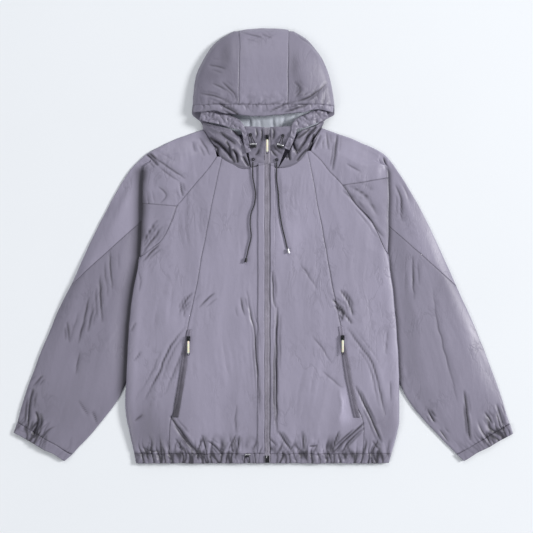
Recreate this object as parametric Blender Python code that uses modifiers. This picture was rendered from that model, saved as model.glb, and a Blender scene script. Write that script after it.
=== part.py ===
"""Hooded windbreaker jacket of thin nylon, laid flat and face up on a level surface.

Lengths in the tables are millimetres. The zip runs along X = 0, the hem lies at Y = 0, the hood is
towards +Y and +Z points away from the surface. Across the jacket, tables give distances outwards
from the zip, so the left and right sides share one form and keep their own sizes. Every cloth piece
is a sheet through the middle of its wall, and neighbours share their seam points before each is
trimmed back by half of the seam gap.
"""
from collections import namedtuple
from math import hypot, pi, radians

import bmesh
import bpy
import numpy as np
from mathutils import Matrix, Vector

# ---------------------------------------------------------------- driving sizes, mm
MM = 0.001
PLAN_CENTRE = (-5.5, 457.7)      # middle of the laid-out jacket, which becomes the origin

CLOTH = 1.0                      # wall of one cloth layer
CASING = 1.8                     # wall of a hem, cuff or brim casing: two layers and an elastic
SEAM_GAP = 0.44                  # between neighbouring pieces at a seam
STACK = CLOTH + 0.45             # from a panel's middle to the middle of a strip that lies on it
FLOOR = CLOTH / 2                # middle of a layer that lies on the surface

BODY_LOFT = 17.0                 # middle of the front cloth above the surface
BODY_EDGE = 10.8                 # front cloth where it turns under at a side or at the shoulder fold
SHOULDER_EDGE = 4.6              # front cloth at the top of the shoulder
HEM_FRONT = 8.4
SIDE_SOFT = 70.0                 # width over which the front rises from its side edge
SLEEVE_UNDER = 4.6               # sleeve front where the body covers it
TUCK = 7.4                       # middle layer of the shoulder fold, and the back where it covers a sleeve
APEX_SLEEVE, APEX_TUCK = 2.9, 4.9
ARM_LOFT = 14.5
CUFF_LOFT = 8.2
ARM_EDGE = 2.4                   # middle of the turned edge of a flattened sleeve
ARM_SOFT = 60.0
CASING_DEPTH = 20.0              # hem and cuff casings, measured along the garment
BEND = 4.0                       # flat distance over which cloth turns at a folded edge

HOOD_LOFT = 34.0
HOOD_EDGE = 3.0
HOOD_SOFT = 105.0
LINING_LOW, LINING_HIGH = 9.0, 17.0
COLLAR_RISE = 8.0                # collar top above the front cloth
NECK_RISE = 4.5                  # rolls of cloth below the hood's face opening

ZIP_LEFT, ZIP_RIGHT = 3.0, 9.0   # turned edges of the fronts beside the zip coil
PLACKET_LEFT, PLACKET_RIGHT = 17.0, 18.0
PLACKET_TOP = 630.0
ZIP_TOP = 704.0

CORD = 2.5                       # drawcord
SHORT_CORD = 1.8                 # the strands between an upper eyelet and its cord lock
ON_CLOTH = CLOTH / 2 + 0.35      # clear height of a hard piece above the cloth's middle

# ---------------------------------------------------------------- tables, mm
Body = namedtuple("Body", "y side princess")
BODY = {
    -1: (Body(0, 273, 204), Body(62, 286, 203), Body(96, 293, 199), Body(129, 296, 185),
         Body(180, 293, 178), Body(238, 291, 170), Body(276, 288, 166), Body(324, 284, 156),
         Body(366, 278, 147), Body(434, 264, 135)),
    1: (Body(0, 258, 204), Body(62, 275, 205), Body(96, 280, 202), Body(129, 280, 186),
        Body(180, 279, 174), Body(238, 277, 165), Body(280, 274, 158), Body(324, 270, 149),
        Body(366, 266, 140), Body(436, 255, 128)),
}
Princess = namedtuple("Princess", "y x")
PRINCESS_TOP = {
    -1: (Princess(448, 132), Princess(522, 118), Princess(606, 101), Princess(644, 92)),
    1: (Princess(480, 120), Princess(543, 108), Princess(606, 97), Princess(656, 86)),
}

# Rings round the shoulder: raglan seam, shoulder fold, crease beneath it and back raglan seam.
Shoulder = namedtuple("Shoulder", "raglan_x raglan_y fold_x fold_y back_x back_y")
SHOULDER = {
    -1: (Shoulder(103.5, 644, 108, 664, 88, 672), Shoulder(124, 615, 165, 655, 116, 637),
         Shoulder(145, 591, 226, 640, 133, 610), Shoulder(160, 573, 258, 622, 145, 588),
         Shoulder(178, 551, 259.5, 578, 158, 562), Shoulder(187, 541, 260, 546, 167, 540),
         Shoulder(197, 510, 261, 510, 173, 505), Shoulder(218, 471, 262.5, 472, 178, 465),
         Shoulder(256, 439, 264, 436, 181, 428)),
    1: (Shoulder(94, 656, 100, 672, 88, 672), Shoulder(115, 636, 150, 664, 112, 637),
        Shoulder(134, 612, 222, 636, 128, 610), Shoulder(146, 600, 254, 624, 139, 590),
        Shoulder(155, 590, 256.5, 611, 150, 567), Shoulder(160, 584, 257, 600, 160, 542),
        Shoulder(184, 549, 258, 550, 167, 505), Shoulder(222, 507, 257.5, 500, 173, 465),
        Shoulder(249, 450, 255.5, 442, 177, 426)),
}
# Rings round the sleeve: inner crease or underarm edge, and outer edge. The first nine carry on the
# shoulder rings, the sixth is the cross seam, the last is the cuff's open edge.
Arm = namedtuple("Arm", "inner_x inner_y outer_x outer_y")
ARM = {
    -1: (Arm(120, 683, 132, 702), Arm(185, 667, 196, 679), Arm(240, 646, 251, 650),
         Arm(236, 618, 286, 616), Arm(222, 585, 342, 520), Arm(212, 555, 410, 375),
         Arm(201, 515, 427, 342), Arm(190, 465, 440, 315), Arm(185, 425, 450, 291),
         Arm(189, 385, 461, 264), Arm(206, 322, 475, 230), Arm(244, 249, 488, 195),
         Arm(290, 177, 500, 163), Arm(315, 129, 509, 137), Arm(368, 62, 518, 108),
         Arm(409, 18, 523, 86), Arm(424, 5, 530, 64)),
    1: (Arm(108, 688, 116, 705), Arm(168, 676, 178, 683), Arm(236, 642, 248, 650),
        Arm(232, 618, 280, 610), Arm(224, 575, 330, 524), Arm(217, 536, 401, 371),
        Arm(204, 505, 418, 334), Arm(189, 460, 433, 299), Arm(181, 423, 444, 275),
        Arm(185, 385, 453, 253), Arm(200, 322, 465, 221), Arm(235, 245, 478, 187),
        Arm(279, 171, 490, 155), Arm(302, 129, 498, 130), Arm(359, 62, 507, 101),
        Arm(402, 18, 513, 83), Arm(416, 5, 519, 62)),
}
CROSS_SEAM, ARMPIT, CUFF_SEAM, CUFF_END = 5, 8, 15, 16

Neck = namedtuple("Neck", "x y")
NECK_SEAM = {
    -1: (Neck(0, 628), Neck(17, 626), Neck(36, 621), Neck(55, 624), Neck(74, 633), Neck(92, 644)),
    1: (Neck(0, 628), Neck(12, 626), Neck(25, 621), Neck(42, 624), Neck(61, 630), Neck(76, 641),
        Neck(86, 656)),
}
BACK_NECK = {
    -1: (Neck(0, 669), Neck(88, 672), Neck(132, 702)),
    1: (Neck(0, 669), Neck(88, 672), Neck(116, 705)),
}

# Hood rows from the brim's seam over the crown: centre-panel seam and outer edge.
Hood = namedtuple("Hood", "seam_x seam_y edge_x edge_y")
HOOD = {
    -1: (Hood(57, 752, 154, 752), Hood(56.5, 784, 152, 784), Hood(56, 814, 147, 814),
         Hood(55.5, 844, 134, 845), Hood(55.5, 870, 118, 871), Hood(56.5, 893, 96, 893),
         Hood(57.5, 908, 68, 909)),
    1: (Hood(45, 752, 143, 752), Hood(45.5, 784, 139, 784), Hood(45.5, 814, 133, 814),
        Hood(46.5, 844, 121, 845), Hood(46.5, 870, 104, 871), Hood(47, 893, 83, 894),
        Hood(47.5, 908.5, 58, 909)),
}
# The back of the hood below the brim's seam: centre-back seam and outer edge, down to the neck.
HOOD_LOW = {
    -1: (Hood(56.5, 735, 156, 736), Hood(56, 716, 137, 718), Hood(55.5, 700, 132, 709),
         Hood(55, 671, 131, 703)),
    1: (Hood(45, 735, 144, 736), Hood(45.5, 716, 124, 722), Hood(46, 700, 117, 711),
        Hood(46, 671, 117, 705)),
}
Brim = namedtuple("Brim", "x y")
BRIM_EDGE = (Brim(-157, 737), Brim(-124, 739), Brim(-90, 735), Brim(-52, 729), Brim(-21, 728),
             Brim(17, 729), Brim(47, 733), Brim(82, 737), Brim(116, 741), Brim(145, 738))
BRIM_SEAM_Y = 752.0
BRIM_CLEAR = 3.0                 # from the hood's outer edge to each end of the brim
CROWN_Y = 915.0

# Casing along the side of the face opening, then down beside the collar: centre line and width.
Strip = namedtuple("Strip", "x y z width")
OPENING_CASING = {
    -1: (Strip(138, 727, 20, 11), Strip(112, 721, 23, 14), Strip(86, 715, 25, 14),
         Strip(66, 708, 27, 12), Strip(51, 702, 29, 9), Strip(44, 688, 29, 10),
         Strip(41, 670, 28, 11), Strip(36, 652, 27, 11)),
    1: (Strip(130, 729, 20, 9), Strip(110, 722, 23, 13), Strip(90, 715, 25, 14),
        Strip(74, 709, 27, 13), Strip(61, 704, 29, 11), Strip(57, 690, 29, 11),
        Strip(50, 674, 28, 12), Strip(43, 659, 26, 12)),
}
# Lower front of the hood side: from the outer edge to the collar, its seam end and its free end.
NeckRow = namedtuple("NeckRow", "low_x low_y high_x high_y")
HOOD_NECK = {
    -1: (NeckRow(132, 703, 133, 716), NeckRow(126, 692, 122, 714), NeckRow(113, 671, 104, 709),
         NeckRow(101, 655, 88, 705), NeckRow(90, 643, 74, 701), NeckRow(70, 631.5, 61, 695),
         NeckRow(50, 623.5, 53, 680), NeckRow(34, 622, 44, 660)),
    1: (NeckRow(117, 706, 122, 717), NeckRow(110, 693, 111, 713), NeckRow(100, 676, 100, 708),
        NeckRow(91, 662, 88, 703), NeckRow(80, 647.5, 76, 699), NeckRow(62, 632, 68, 690),
        NeckRow(44, 625.5, 60, 676), NeckRow(28, 623, 48, 654)),
}
NECK_ROLLS = {-1: 3.0, 1: 2.6}   # rolls between the neck seam and the face opening

Pocket = namedtuple("Pocket", "y x width")
POCKET_ZIP = {
    -1: (Pocket(282, 160, 9), Pocket(240, 168, 10), Pocket(200, 173, 13), Pocket(150, 181, 13),
         Pocket(98, 190, 12)),
    1: (Pocket(288, 157, 9), Pocket(240, 163, 10), Pocket(200, 170, 13), Pocket(150, 179, 13),
        Pocket(98, 191, 12)),
}

# Drawcord routes over the front, from the lower eyelet to the bead.
CORD_ROUTE = {
    -1: ((-27.5, 632.5), (-28, 620), (-28, 604), (-24.5, 584), (-22, 564), (-24, 545), (-29, 532),
         (-32.5, 520), (-33.5, 503), (-31, 478), (-33, 466), (-36, 455), (-39, 442), (-41, 432)),
    1: ((22, 632), (22, 618), (22, 600), (24, 582), (26, 564), (26.5, 551), (27.5, 538),
        (29.5, 522), (32, 507), (35, 492), (39, 476), (42, 463), (45, 451)),
}
EYELET_UPPER = {-1: (-32.5, 689), 1: (35, 687)}
EYELET_LOWER = {-1: (-27, 638), 1: (22.3, 637)}
CORD_LOCK = {-1: (-26, 666.5, 0), 1: (29, 665.5, -16)}   # X, Y and turn in degrees
HEM_EYELET = (-40, 17)
FRONT_PULL = (2.5, 684)
POCKET_PULL = {-1: (-162.5, 263), 1: (160.5, 265)}

SIDE_NAME = {-1: "left", 1: "right"}

Finish = namedtuple("Finish", "colour roughness metallic")
FINISHES = {
    "nylon": Finish((0.30, 0.28, 0.36), 0.45, 0.0),
    "lining": Finish((0.42, 0.44, 0.46), 0.60, 0.0),
    "coil": Finish((0.16, 0.15, 0.19), 0.50, 0.0),
    "cord": Finish((0.02, 0.02, 0.02), 0.70, 0.0),
    "black_plastic": Finish((0.02, 0.02, 0.02), 0.35, 0.0),
    "cream_rubber": Finish((0.80, 0.74, 0.55), 0.50, 0.0),
    "steel": Finish((0.70, 0.70, 0.70), 0.25, 1.0),
}


# ---------------------------------------------------------------- curves and heights
def smooth(knots, values, at):
    """Smooth curve through the knots that never overshoots them, level beyond its ends."""
    knots = np.asarray(knots, float)
    values = np.asarray(values, float)
    step = np.diff(knots)
    slope = np.diff(values) / step
    tangent = np.zeros_like(values)
    turning = slope[:-1] * slope[1:] > 0
    tangent[1:-1][turning] = 2.0 / (1.0 / slope[:-1][turning] + 1.0 / slope[1:][turning])
    tangent[0] = slope[0]
    tangent[-1] = slope[-1]
    at = np.clip(at, knots[0], knots[-1])
    i = np.clip(np.searchsorted(knots, at, side="right") - 1, 0, len(step) - 1)
    t = (at - knots[i]) / step[i]
    start = (1 + 2 * t) * (1 - t) ** 2 * values[i] + t * (1 - t) ** 2 * step[i] * tangent[i]
    end = t * t * (3 - 2 * t) * values[i + 1] + t * t * (t - 1) * step[i] * tangent[i + 1]
    return float(start + end)


def column(rows, name):
    return [getattr(row, name) for row in rows]


def ramp(t):
    """0 to 1 with soft ends."""
    t = min(max(t, 0.0), 1.0)
    return t * t * (3 - 2 * t)


def dome(t):
    """0 to 1 like a quarter circle, steep at the start."""
    t = min(max(t, 0.0), 1.0)
    return (1 - (1 - t) ** 2) ** 0.5


def mix(a, b, t):
    return a + (b - a) * t


def ring_value(rows, name, station):
    return smooth(range(len(rows)), column(rows, name), station)


def body_side(side, y):
    """Distance of the body's side edge from the zip."""
    return smooth(column(BODY[side], "y"), column(BODY[side], "side"), y)


def princess(side, y):
    """Distance of the princess seam from the zip."""
    ys = column(BODY[side], "y") + column(PRINCESS_TOP[side], "y")
    xs = column(BODY[side], "princess") + column(PRINCESS_TOP[side], "x")
    return smooth(ys, xs, y)


def covering_edge(side, y):
    """Edge of the body, or above it of the shoulder fold, that covers the sleeve."""
    folds = SHOULDER[side][:2:-1]
    armpit_y = folds[0].fold_y
    if y < armpit_y:
        return body_side(side, y)
    return smooth(column(folds, "fold_y") + [650], column(folds, "fold_x") + [251], y)


def hidden_sleeve_edge(side, y):
    """Underarm edge of the sleeve beneath the body."""
    rows = ARM[side][13:7:-1]
    return smooth(column(rows, "inner_y"), column(rows, "inner_x"), y)


def shoulder_line(side, x):
    """Y of the garment's upper outline at a distance from the zip."""
    rows = ARM[side][:4]
    return smooth(column(rows, "outer_x"), column(rows, "outer_y"), x)


def front_height(x, y):
    """Middle of the front cloth of body and shoulder."""
    side = -1 if x < 0 else 1
    across = abs(x)
    inward = covering_edge(side, y) - across
    height = mix(BODY_EDGE, BODY_LOFT, ramp(inward / SIDE_SOFT))
    height = mix(SHOULDER_EDGE, height, ramp((shoulder_line(side, across) - y) / 55.0))
    return mix(HEM_FRONT, height, ramp((y - CASING_DEPTH) / 60.0))


def back_height(x, y):
    """Middle of the back cloth: on the surface, and raised where a sleeve lies beneath it."""
    side = -1 if x < 0 else 1
    armpit_y = ARM[side][ARMPIT].inner_y
    outward = abs(x) - hidden_sleeve_edge(side, min(y, armpit_y))
    over_sleeve = ramp((outward + 26.0) / 21.0)
    below_armpit = 1.0 - ramp((y - armpit_y - 2.0) / 40.0)
    return FLOOR + (TUCK - FLOOR) * over_sleeve * below_armpit


def hood_height(x, y):
    """Middle of the hood's upper layer."""
    side = -1 if x < 0 else 1
    rows = HOOD[side]
    edge = smooth(column(rows, "edge_y"), column(rows, "edge_x"), y)
    sideways = dome((edge - abs(x)) / HOOD_SOFT)
    upwards = dome((CROWN_Y - y) / HOOD_SOFT)
    rim = hood_rim(y)
    return rim + (HOOD_LOFT - rim) * sideways * upwards


def hood_rim(y):
    """Middle of the hood's turned outer edge, highest at the brim's corners."""
    return HOOD_EDGE + 6.0 * (1.0 - ramp((y - 750.0) / 60.0))


def neck_seam_y(x):
    rows = NECK_SEAM[-1 if x < 0 else 1]
    return smooth(column(rows, "x"), column(rows, "y"), abs(x))


def back_neck_y(x):
    rows = BACK_NECK[-1 if x < 0 else 1]
    return float(np.interp(abs(x), column(rows, "x"), column(rows, "y")))


def collar_height(x, y):
    """Middle of the collar, which laps over the neck seam and rises to its free top edge."""
    rise = ramp((y - neck_seam_y(x)) / (ZIP_TOP - neck_seam_y(x)))
    return front_height(x, min(y, 640.0)) + STACK + COLLAR_RISE * rise


# ---------------------------------------------------------------- building with Blender
def clear_scene():
    for thing in list(bpy.data.objects):
        bpy.data.objects.remove(thing, do_unlink=True)


def new_collection(name):
    collection = bpy.data.collections.new(name)
    bpy.context.scene.collection.children.link(collection)
    return collection


def finish_material(name):
    material = bpy.data.materials.get(name)
    if material:
        return material
    look = FINISHES[name]
    material = bpy.data.materials.new(name)
    material.use_nodes = True
    shader = material.node_tree.nodes["Principled BSDF"]
    shader.inputs["Base Color"].default_value = (*look.colour, 1.0)
    shader.inputs["Roughness"].default_value = look.roughness
    shader.inputs["Metallic"].default_value = look.metallic
    return material


def add_object(name, data, material, collection):
    thing = bpy.data.objects.new(name, data)
    own = finish_material(material).copy()
    own.name = f"{name}_{material}"
    data.materials.append(own)
    collection.objects.link(thing)
    return thing


def placed(x, y, z):
    """A point of the tables in the part's own frame, in metres."""
    return Vector((x - PLAN_CENTRE[0], y - PLAN_CENTRE[1], z)) * MM


def unit(vectors):
    return vectors / np.maximum(np.linalg.norm(vectors, axis=-1, keepdims=True), 1e-6)


def square_in(edge, inner):
    """Directions within the sheet, square to its edge and pointing in from it."""
    along = unit(np.gradient(edge, axis=0))
    inwards = inner - edge
    inwards -= along * np.sum(inwards * along, axis=-1, keepdims=True)
    return unit(inwards)


def trim(points, edges):
    """Pull the named edges of a sheet of points in by half of the seam gap."""
    points = np.array(points, float)
    half = SEAM_GAP / 2
    lowest = points[..., 2].min()
    if "first_row" in edges:
        points[0] += square_in(points[0], points[1]) * half
    if "last_row" in edges:
        points[-1] += square_in(points[-1], points[-2]) * half
    if "first_column" in edges:
        points[:, 0] += square_in(points[:, 0], points[:, 1]) * half
    if "last_column" in edges:
        points[:, -1] += square_in(points[:, -1], points[:, -2]) * half
    points[..., 2] = np.maximum(points[..., 2], lowest)
    return points


def sheet(name, points, collection, material="nylon", wall=CLOTH, absent=None):
    """Cloth wall through a grid of points; absent(row, column) names the cells that are cut away."""
    rows, columns = points.shape[:2]
    bm = bmesh.new()
    bmesh.ops.create_grid(bm, x_segments=columns - 1, y_segments=rows - 1, size=0.5)
    if absent:
        cut = []
        for face in bm.faces:
            centre = face.calc_center_median()
            cell = (int((centre.y + 0.5) * (rows - 1)), int((centre.x + 0.5) * (columns - 1)))
            if absent(*cell):
                cut.append(face)
        bmesh.ops.delete(bm, geom=cut, context="FACES")
    for vertex in bm.verts:
        row = round((vertex.co.y + 0.5) * (rows - 1))
        col = round((vertex.co.x + 0.5) * (columns - 1))
        vertex.co = placed(*points[row, col])
    mesh = bpy.data.meshes.new(name)
    bm.to_mesh(mesh)
    bm.free()
    mesh.shade_smooth()
    thing = add_object(name, mesh, material, collection)
    thicken = thing.modifiers.new("wall", "SOLIDIFY")
    thicken.thickness = wall * MM
    thicken.offset = 0.0
    return thing


def mesh_object(name, bm, material, collection):
    mesh = bpy.data.meshes.new(name)
    bm.to_mesh(mesh)
    bm.free()
    mesh.shade_smooth()
    mesh.set_sharp_from_angle(angle=radians(40))
    return add_object(name, mesh, material, collection)


def block(name, size, centre, material, collection, turn=0.0, bevel=0.0):
    """Box with rounded edges, turned in plan about its own middle."""
    bm = bmesh.new()
    bmesh.ops.create_cube(bm, size=1.0)
    bmesh.ops.scale(bm, vec=Vector(size) * MM, verts=bm.verts)
    thing = mesh_object(name, bm, material, collection)
    thing.location = placed(*centre)
    thing.rotation_euler[2] = radians(turn)
    if bevel:
        rounding = thing.modifiers.new("rounding", "BEVEL")
        rounding.width = bevel * MM
        rounding.segments = 2
    return thing


def ring(name, radius, rod, centre, material, collection):
    bpy.ops.mesh.primitive_torus_add(major_radius=radius * MM, minor_radius=rod * MM, major_segments=12,
                                     minor_segments=6, location=placed(*centre))
    thing = bpy.context.object
    thing.name = name
    own = finish_material(material).copy()
    own.name = f"{name}_{material}"
    thing.data.materials.append(own)
    for holder in list(thing.users_collection):
        holder.objects.unlink(thing)
    collection.objects.link(thing)
    return thing


def smooth_route(route, spacing):
    """Points every spacing along a smooth curve through a route's own points."""
    route = np.array(route, float)
    steps = np.linalg.norm(np.diff(route, axis=0), axis=1)
    along = np.concatenate(([0.0], np.cumsum(steps)))
    count = max(int(along[-1] / spacing), 2)
    stations = np.linspace(0.0, along[-1], count + 1)
    return [[smooth(along, route[:, axis], s) for axis in range(3)] for s in stations]


def tube(name, route, diameter, collection, material="cord"):
    """Cord through a smooth route, with a point every two and a half diameters."""
    points = smooth_route(route, 2.5 * diameter)
    curve = bpy.data.curves.new(name, "CURVE")
    curve.dimensions = "3D"
    curve.bevel_depth = diameter / 2 * MM
    curve.bevel_resolution = 2
    curve.use_fill_caps = True
    spline = curve.splines.new("POLY")
    spline.points.add(len(points) - 1)
    for point, place in zip(spline.points, points):
        point.co = (*placed(*place), 1.0)
    return add_object(name, curve, material, collection)


def subtract(thing, cutter, name):
    cut = thing.modifiers.new(name, "BOOLEAN")
    cut.operation = "DIFFERENCE"
    cut.object = cutter
    cut.solver = "EXACT"


def join(thing, other, name):
    union = thing.modifiers.new(name, "BOOLEAN")
    union.operation = "UNION"
    union.object = other
    union.solver = "EXACT"


def as_tool(thing):
    thing.hide_render = True
    thing.display_type = "WIRE"


# ---------------------------------------------------------------- body
LOWER_ROWS = (20.0, 34, 50, 66, 90, 129, 180, 235, 285, 330, 370, 405)
SHOULDER_STATIONS = (0, 1, 2, 2.5, 3, 4, 5)
LOWER_STATIONS = (5, 6, 7, 8, 9, 10, 11, 12, 13, 14, 15)
ARMHOLE_STATIONS = sorted(set(SHOULDER_STATIONS) | set(LOWER_STATIONS[:4]), reverse=True)
TURN_GAP = 0.65                  # from a turned edge's middle to each of the two pieces that meet there


def front_rows(side):
    """Row heights of the front panels with the distance of each row's outer end from the zip."""
    armpit_y = SHOULDER[side][ARMPIT].fold_y - 3.0
    rows = [(y, body_side(side, y), True) for y in LOWER_ROWS + (armpit_y,)]
    for station in ARMHOLE_STATIONS:
        y = ring_value(SHOULDER[side], "raglan_y", station)
        rows.append((y, ring_value(SHOULDER[side], "raglan_x", station), False))
    return rows


def side_turn(side, y):
    """Middle of the body's turned side edge, between its front and its back."""
    x = side * body_side(side, y)
    return (front_height(x, y) + back_height(x, y)) / 2


def front_side_panel(side, parts):
    points = []
    for y, outer, turned in front_rows(side):
        inner = princess(side, y)
        bend = outer - min(BEND, (outer - inner) * 0.4)
        row = []
        for part in (0.0, 0.35, 0.7, 1.0):
            x = side * mix(inner, bend, part)
            row.append((x, y, front_height(x, y)))
        edge = side_turn(side, y) + TURN_GAP if turned else front_height(side * outer, y)
        row.append((side * outer, y, edge))
        points.append(row)
    points = trim(points, ("first_row", "last_row", "first_column"))
    open_rows = range(len(LOWER_ROWS) + 1, len(points))
    points[open_rows, -1] += unit(points[open_rows, -2] - points[open_rows, -1]) * SEAM_GAP / 2
    sheet(f"front_side_{SIDE_NAME[side]}", points, parts)


def front_centre_panel(side, parts):
    inner = ZIP_LEFT if side < 0 else ZIP_RIGHT
    rows = front_rows(side)
    top = rows[-1][0]
    points = []
    for y, _, _ in rows:
        row = []
        for part in (0.0, 0.25, 0.5, 0.75, 1.0):
            x = side * mix(inner, princess(side, y), part)
            lift = ramp((y - 500.0) / (top - 500.0))
            row_y = y + (neck_seam_y(x) - top) * lift
            row.append((x, row_y, front_height(x, row_y)))
        points.append(row)
    edges = ("first_row", "last_row", "first_column", "last_column")
    sheet(f"front_centre_{SIDE_NAME[side]}", trim(points, edges), parts)


def back_row(y, armhole=None):
    """Points of one row of the back, from its left to its right edge."""
    halves = {}
    for side in (-1, 1):
        if armhole is None:
            lift = hidden_sleeve_edge(side, y) - 5.0
            outer = body_side(side, y)
            lift = min(lift, outer - 3 * BEND)
            row_y = y
        else:
            lift = ring_value(SHOULDER[side], "back_x", armhole) - SEAM_GAP / 2
            outer = lift + 3 * BEND
            row_y = ring_value(SHOULDER[side], "back_y", armhole)
        foot = lift - 22.0
        middle = mix(lift, outer - BEND, 0.5)
        places = [outer, outer - BEND, middle, lift, foot]
        halves[side] = ([side * x for x in places], row_y)
    left, left_y = halves[-1]
    right, right_y = halves[1]
    inner = [mix(left[-1], right[-1], part) for part in (1 / 6, 2 / 6, 3 / 6, 4 / 6, 5 / 6)]
    xs = left + inner + right[::-1]
    row = []
    for x in xs:
        part = min(max((x - left[3]) / (right[3] - left[3]), 0.0), 1.0)
        row_y = mix(left_y, right_y, part)
        if armhole == 0:
            row_y = back_neck_y(x)
        row.append([x, row_y, back_height(x, row_y)])
    return row


def back_panel(parts):
    points = [back_row(y) for y in LOWER_ROWS]
    armpit = back_row(ARM[-1][ARMPIT].inner_y - 1.5)
    for col, (x, _, _) in enumerate(armpit):
        side = -1 if x < 0 else 1
        crease = ARM[side][ARMPIT]
        fold = SHOULDER[side][ARMPIT]
        outward = min(max((abs(x) - crease.inner_x) / (fold.fold_x - crease.inner_x), 0.0), 1.0)
        armpit[col][1] = mix(crease.inner_y, fold.fold_y, outward) - 1.5
    points.append(armpit)
    first_upper = len(points)
    points += [back_row(0.0, station) for station in ARMHOLE_STATIONS[1:]]
    for row in points[:first_upper]:
        for col, side in ((0, -1), (-1, 1)):
            row[col][2] = side_turn(side, row[col][1]) - TURN_GAP
    outer_columns = 3
    columns = len(points[0])

    def above_armpit(row, col):
        return row >= first_upper - 1 and not outer_columns <= col < columns - 1 - outer_columns

    sheet("back_panel", trim(points, ("first_row", "last_row")), parts, absent=above_armpit)


def hem_bands(parts):
    heights = (0.0, 10.0, CASING_DEPTH)
    for side in (-1, 1):
        inner = ZIP_LEFT if side < 0 else ZIP_RIGHT
        points = []
        for y in heights:
            outer = body_side(side, y)
            row = [(side * mix(inner, outer - 3 * BEND, part), y, HEM_FRONT) for part in np.linspace(0, 1, 8)]
            row.append((side * (outer - BEND), y, HEM_FRONT - 0.8))
            row.append((side * outer, y, HEM_FRONT / 2 + 1.6))
            points.append(row)
        points = trim(points, ("last_row", "first_column"))
        sheet(f"hem_front_{SIDE_NAME[side]}", points, parts, wall=CASING)
    points = []
    for y in heights:
        left, right = -body_side(-1, y), body_side(1, y)
        flat = [(x, y, CASING / 2) for x in np.linspace(left + 2 * BEND, right - 2 * BEND, 11)]
        points.append([(left, y, HEM_FRONT / 2 - 0.7)] + flat + [(right, y, HEM_FRONT / 2 - 0.7)])
    sheet("hem_back", trim(points, ("last_row",)), parts, wall=CASING)


# ---------------------------------------------------------------- sleeves
FIRST_ARM_COLUMN = 7             # the inner crease, which is the underarm seam below the armpit
OUTER_ARM_COLUMN = 14


def arm_height(side, station, x, y, inwards, outwards):
    """Middle of the sleeve's front: low beneath the body and at both edges."""
    apex = ramp((station - 3.0) / 2.0)
    low = mix(APEX_SLEEVE, SLEEVE_UNDER, apex)
    loft = mix(ARM_LOFT, CUFF_LOFT, ramp((station - 11.0) / 4.0))
    clear = abs(x) - covering_edge(side, y)
    return low + (loft - low) * ramp(inwards / ARM_SOFT) * ramp(outwards / ARM_SOFT) * ramp(clear / ARM_SOFT)


def crossing(side, station, inner, outer):
    """How far along the ring the sleeve comes out from under the body."""
    if station < 3:
        return 0.45
    for part in np.linspace(0.1, 0.6, 51):
        place = mix(inner, outer, part)
        if place[0] >= covering_edge(side, place[1]) + BEND:
            return float(part)
    return 0.6


def sleeve_ring(side, station):
    """Points round one ring, from the raglan seam over the fold, the crease and the outer edge."""
    arm = {name: ring_value(ARM[side], name, station) for name in Arm._fields}
    inner = np.array((arm["inner_x"], arm["inner_y"]))
    outer = np.array((arm["outer_x"], arm["outer_y"]))
    above = min(station, ARMPIT)
    top = {name: ring_value(SHOULDER[side], name, above) for name in Shoulder._fields}
    raglan = np.array((top["raglan_x"], top["raglan_y"]))
    fold = np.array((top["fold_x"], top["fold_y"]))
    back = np.array((top["back_x"], top["back_y"])) if station <= ARMPIT else inner

    tucked = ramp((station - 2.0) * 1.6)
    apex = ramp((station - 3.0) / 2.0)
    sleeve_z = mix(APEX_SLEEVE, SLEEVE_UNDER, apex)
    tuck_z = mix(APEX_TUCK, TUCK, apex)
    tube = ramp(station - ARMPIT)
    crease_z = mix((sleeve_z + tuck_z) / 2, ARM_EDGE + TURN_GAP, tube)
    end_z = mix(FLOOR, ARM_EDGE - TURN_GAP, tube)
    cross = crossing(side, station, inner, outer)
    width = hypot(*(outer - inner))
    bend = min(BEND / width, 0.2)

    def at(place, z):
        return (side * place[0], place[1], z)

    def top_at(place):
        return at(place, front_height(side * place[0], place[1]))

    def tuck_at(place, z):
        return at(place, mix(front_height(side * place[0], place[1]), z, tucked))

    def arm_at(part):
        place = mix(inner, outer, part)
        height = arm_height(side, station, *place, part * width, (1 - part) * width)
        return tuck_at(place, height)

    def near(start, end, reach=BEND):
        return start + (end - start) * min(reach / max(hypot(*(end - start)), 0.1), 0.3)

    ridge = np.sin(pi * min(max(station - 2.0, 0.0), 1.0))
    fold_top = top_at(near(fold, raglan))
    fold_z = mix(front_height(side * fold[0], fold[1]), (fold_top[2] + tuck_z) / 2, tucked)
    points = [top_at(mix(raglan, fold, part)) for part in (0.0, 1 / 3, 2 / 3)]
    beneath_fold = mix(near(fold, inner), near(fold, raglan), tucked)
    slanting = tucked * (1 - ramp((station - 6.0) / 2.0))
    above_crease = mix(near(inner, fold, BEND / 2), mix(inner, outer, bend), slanting)
    points += [fold_top, at(fold, fold_z), tuck_at(beneath_fold, tuck_z)]
    points += [tuck_at(above_crease, tuck_z), tuck_at(inner, crease_z)]
    points += [arm_at(bend), arm_at(max(cross, 1.5 * bend))]
    for col, rise in ((3, 1.8), (4, 1.6), (5, 0.6), (7, -0.4), (8, -0.3)):
        points[col] = (*points[col][:2], points[col][2] + rise * ridge)
    points += [arm_at(mix(cross, 1 - bend, part)) for part in (0.25, 0.5, 0.75)]
    points += [arm_at(1 - bend), at(outer, ARM_EDGE), at(near(outer, back), FLOOR)]
    last = near(back, outer)
    points += [at(mix(near(outer, back), last, part), FLOOR) for part in (0.25, 0.5, 0.75)]
    points += [at(last, FLOOR), at(back, end_z)]
    return points


def back_off(points, edge, inner):
    """Open the cross seam's gap further at the crease and at the turned outer edge."""
    for col, distance in ((FIRST_ARM_COLUMN, 1.0), (OUTER_ARM_COLUMN, 0.5)):
        for beside, share in ((-1, 0.6), (0, 1.0), (1, 0.6)):
            place = points[edge, col + beside]
            place += unit(points[inner, col + beside] - place) * distance * share


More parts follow.
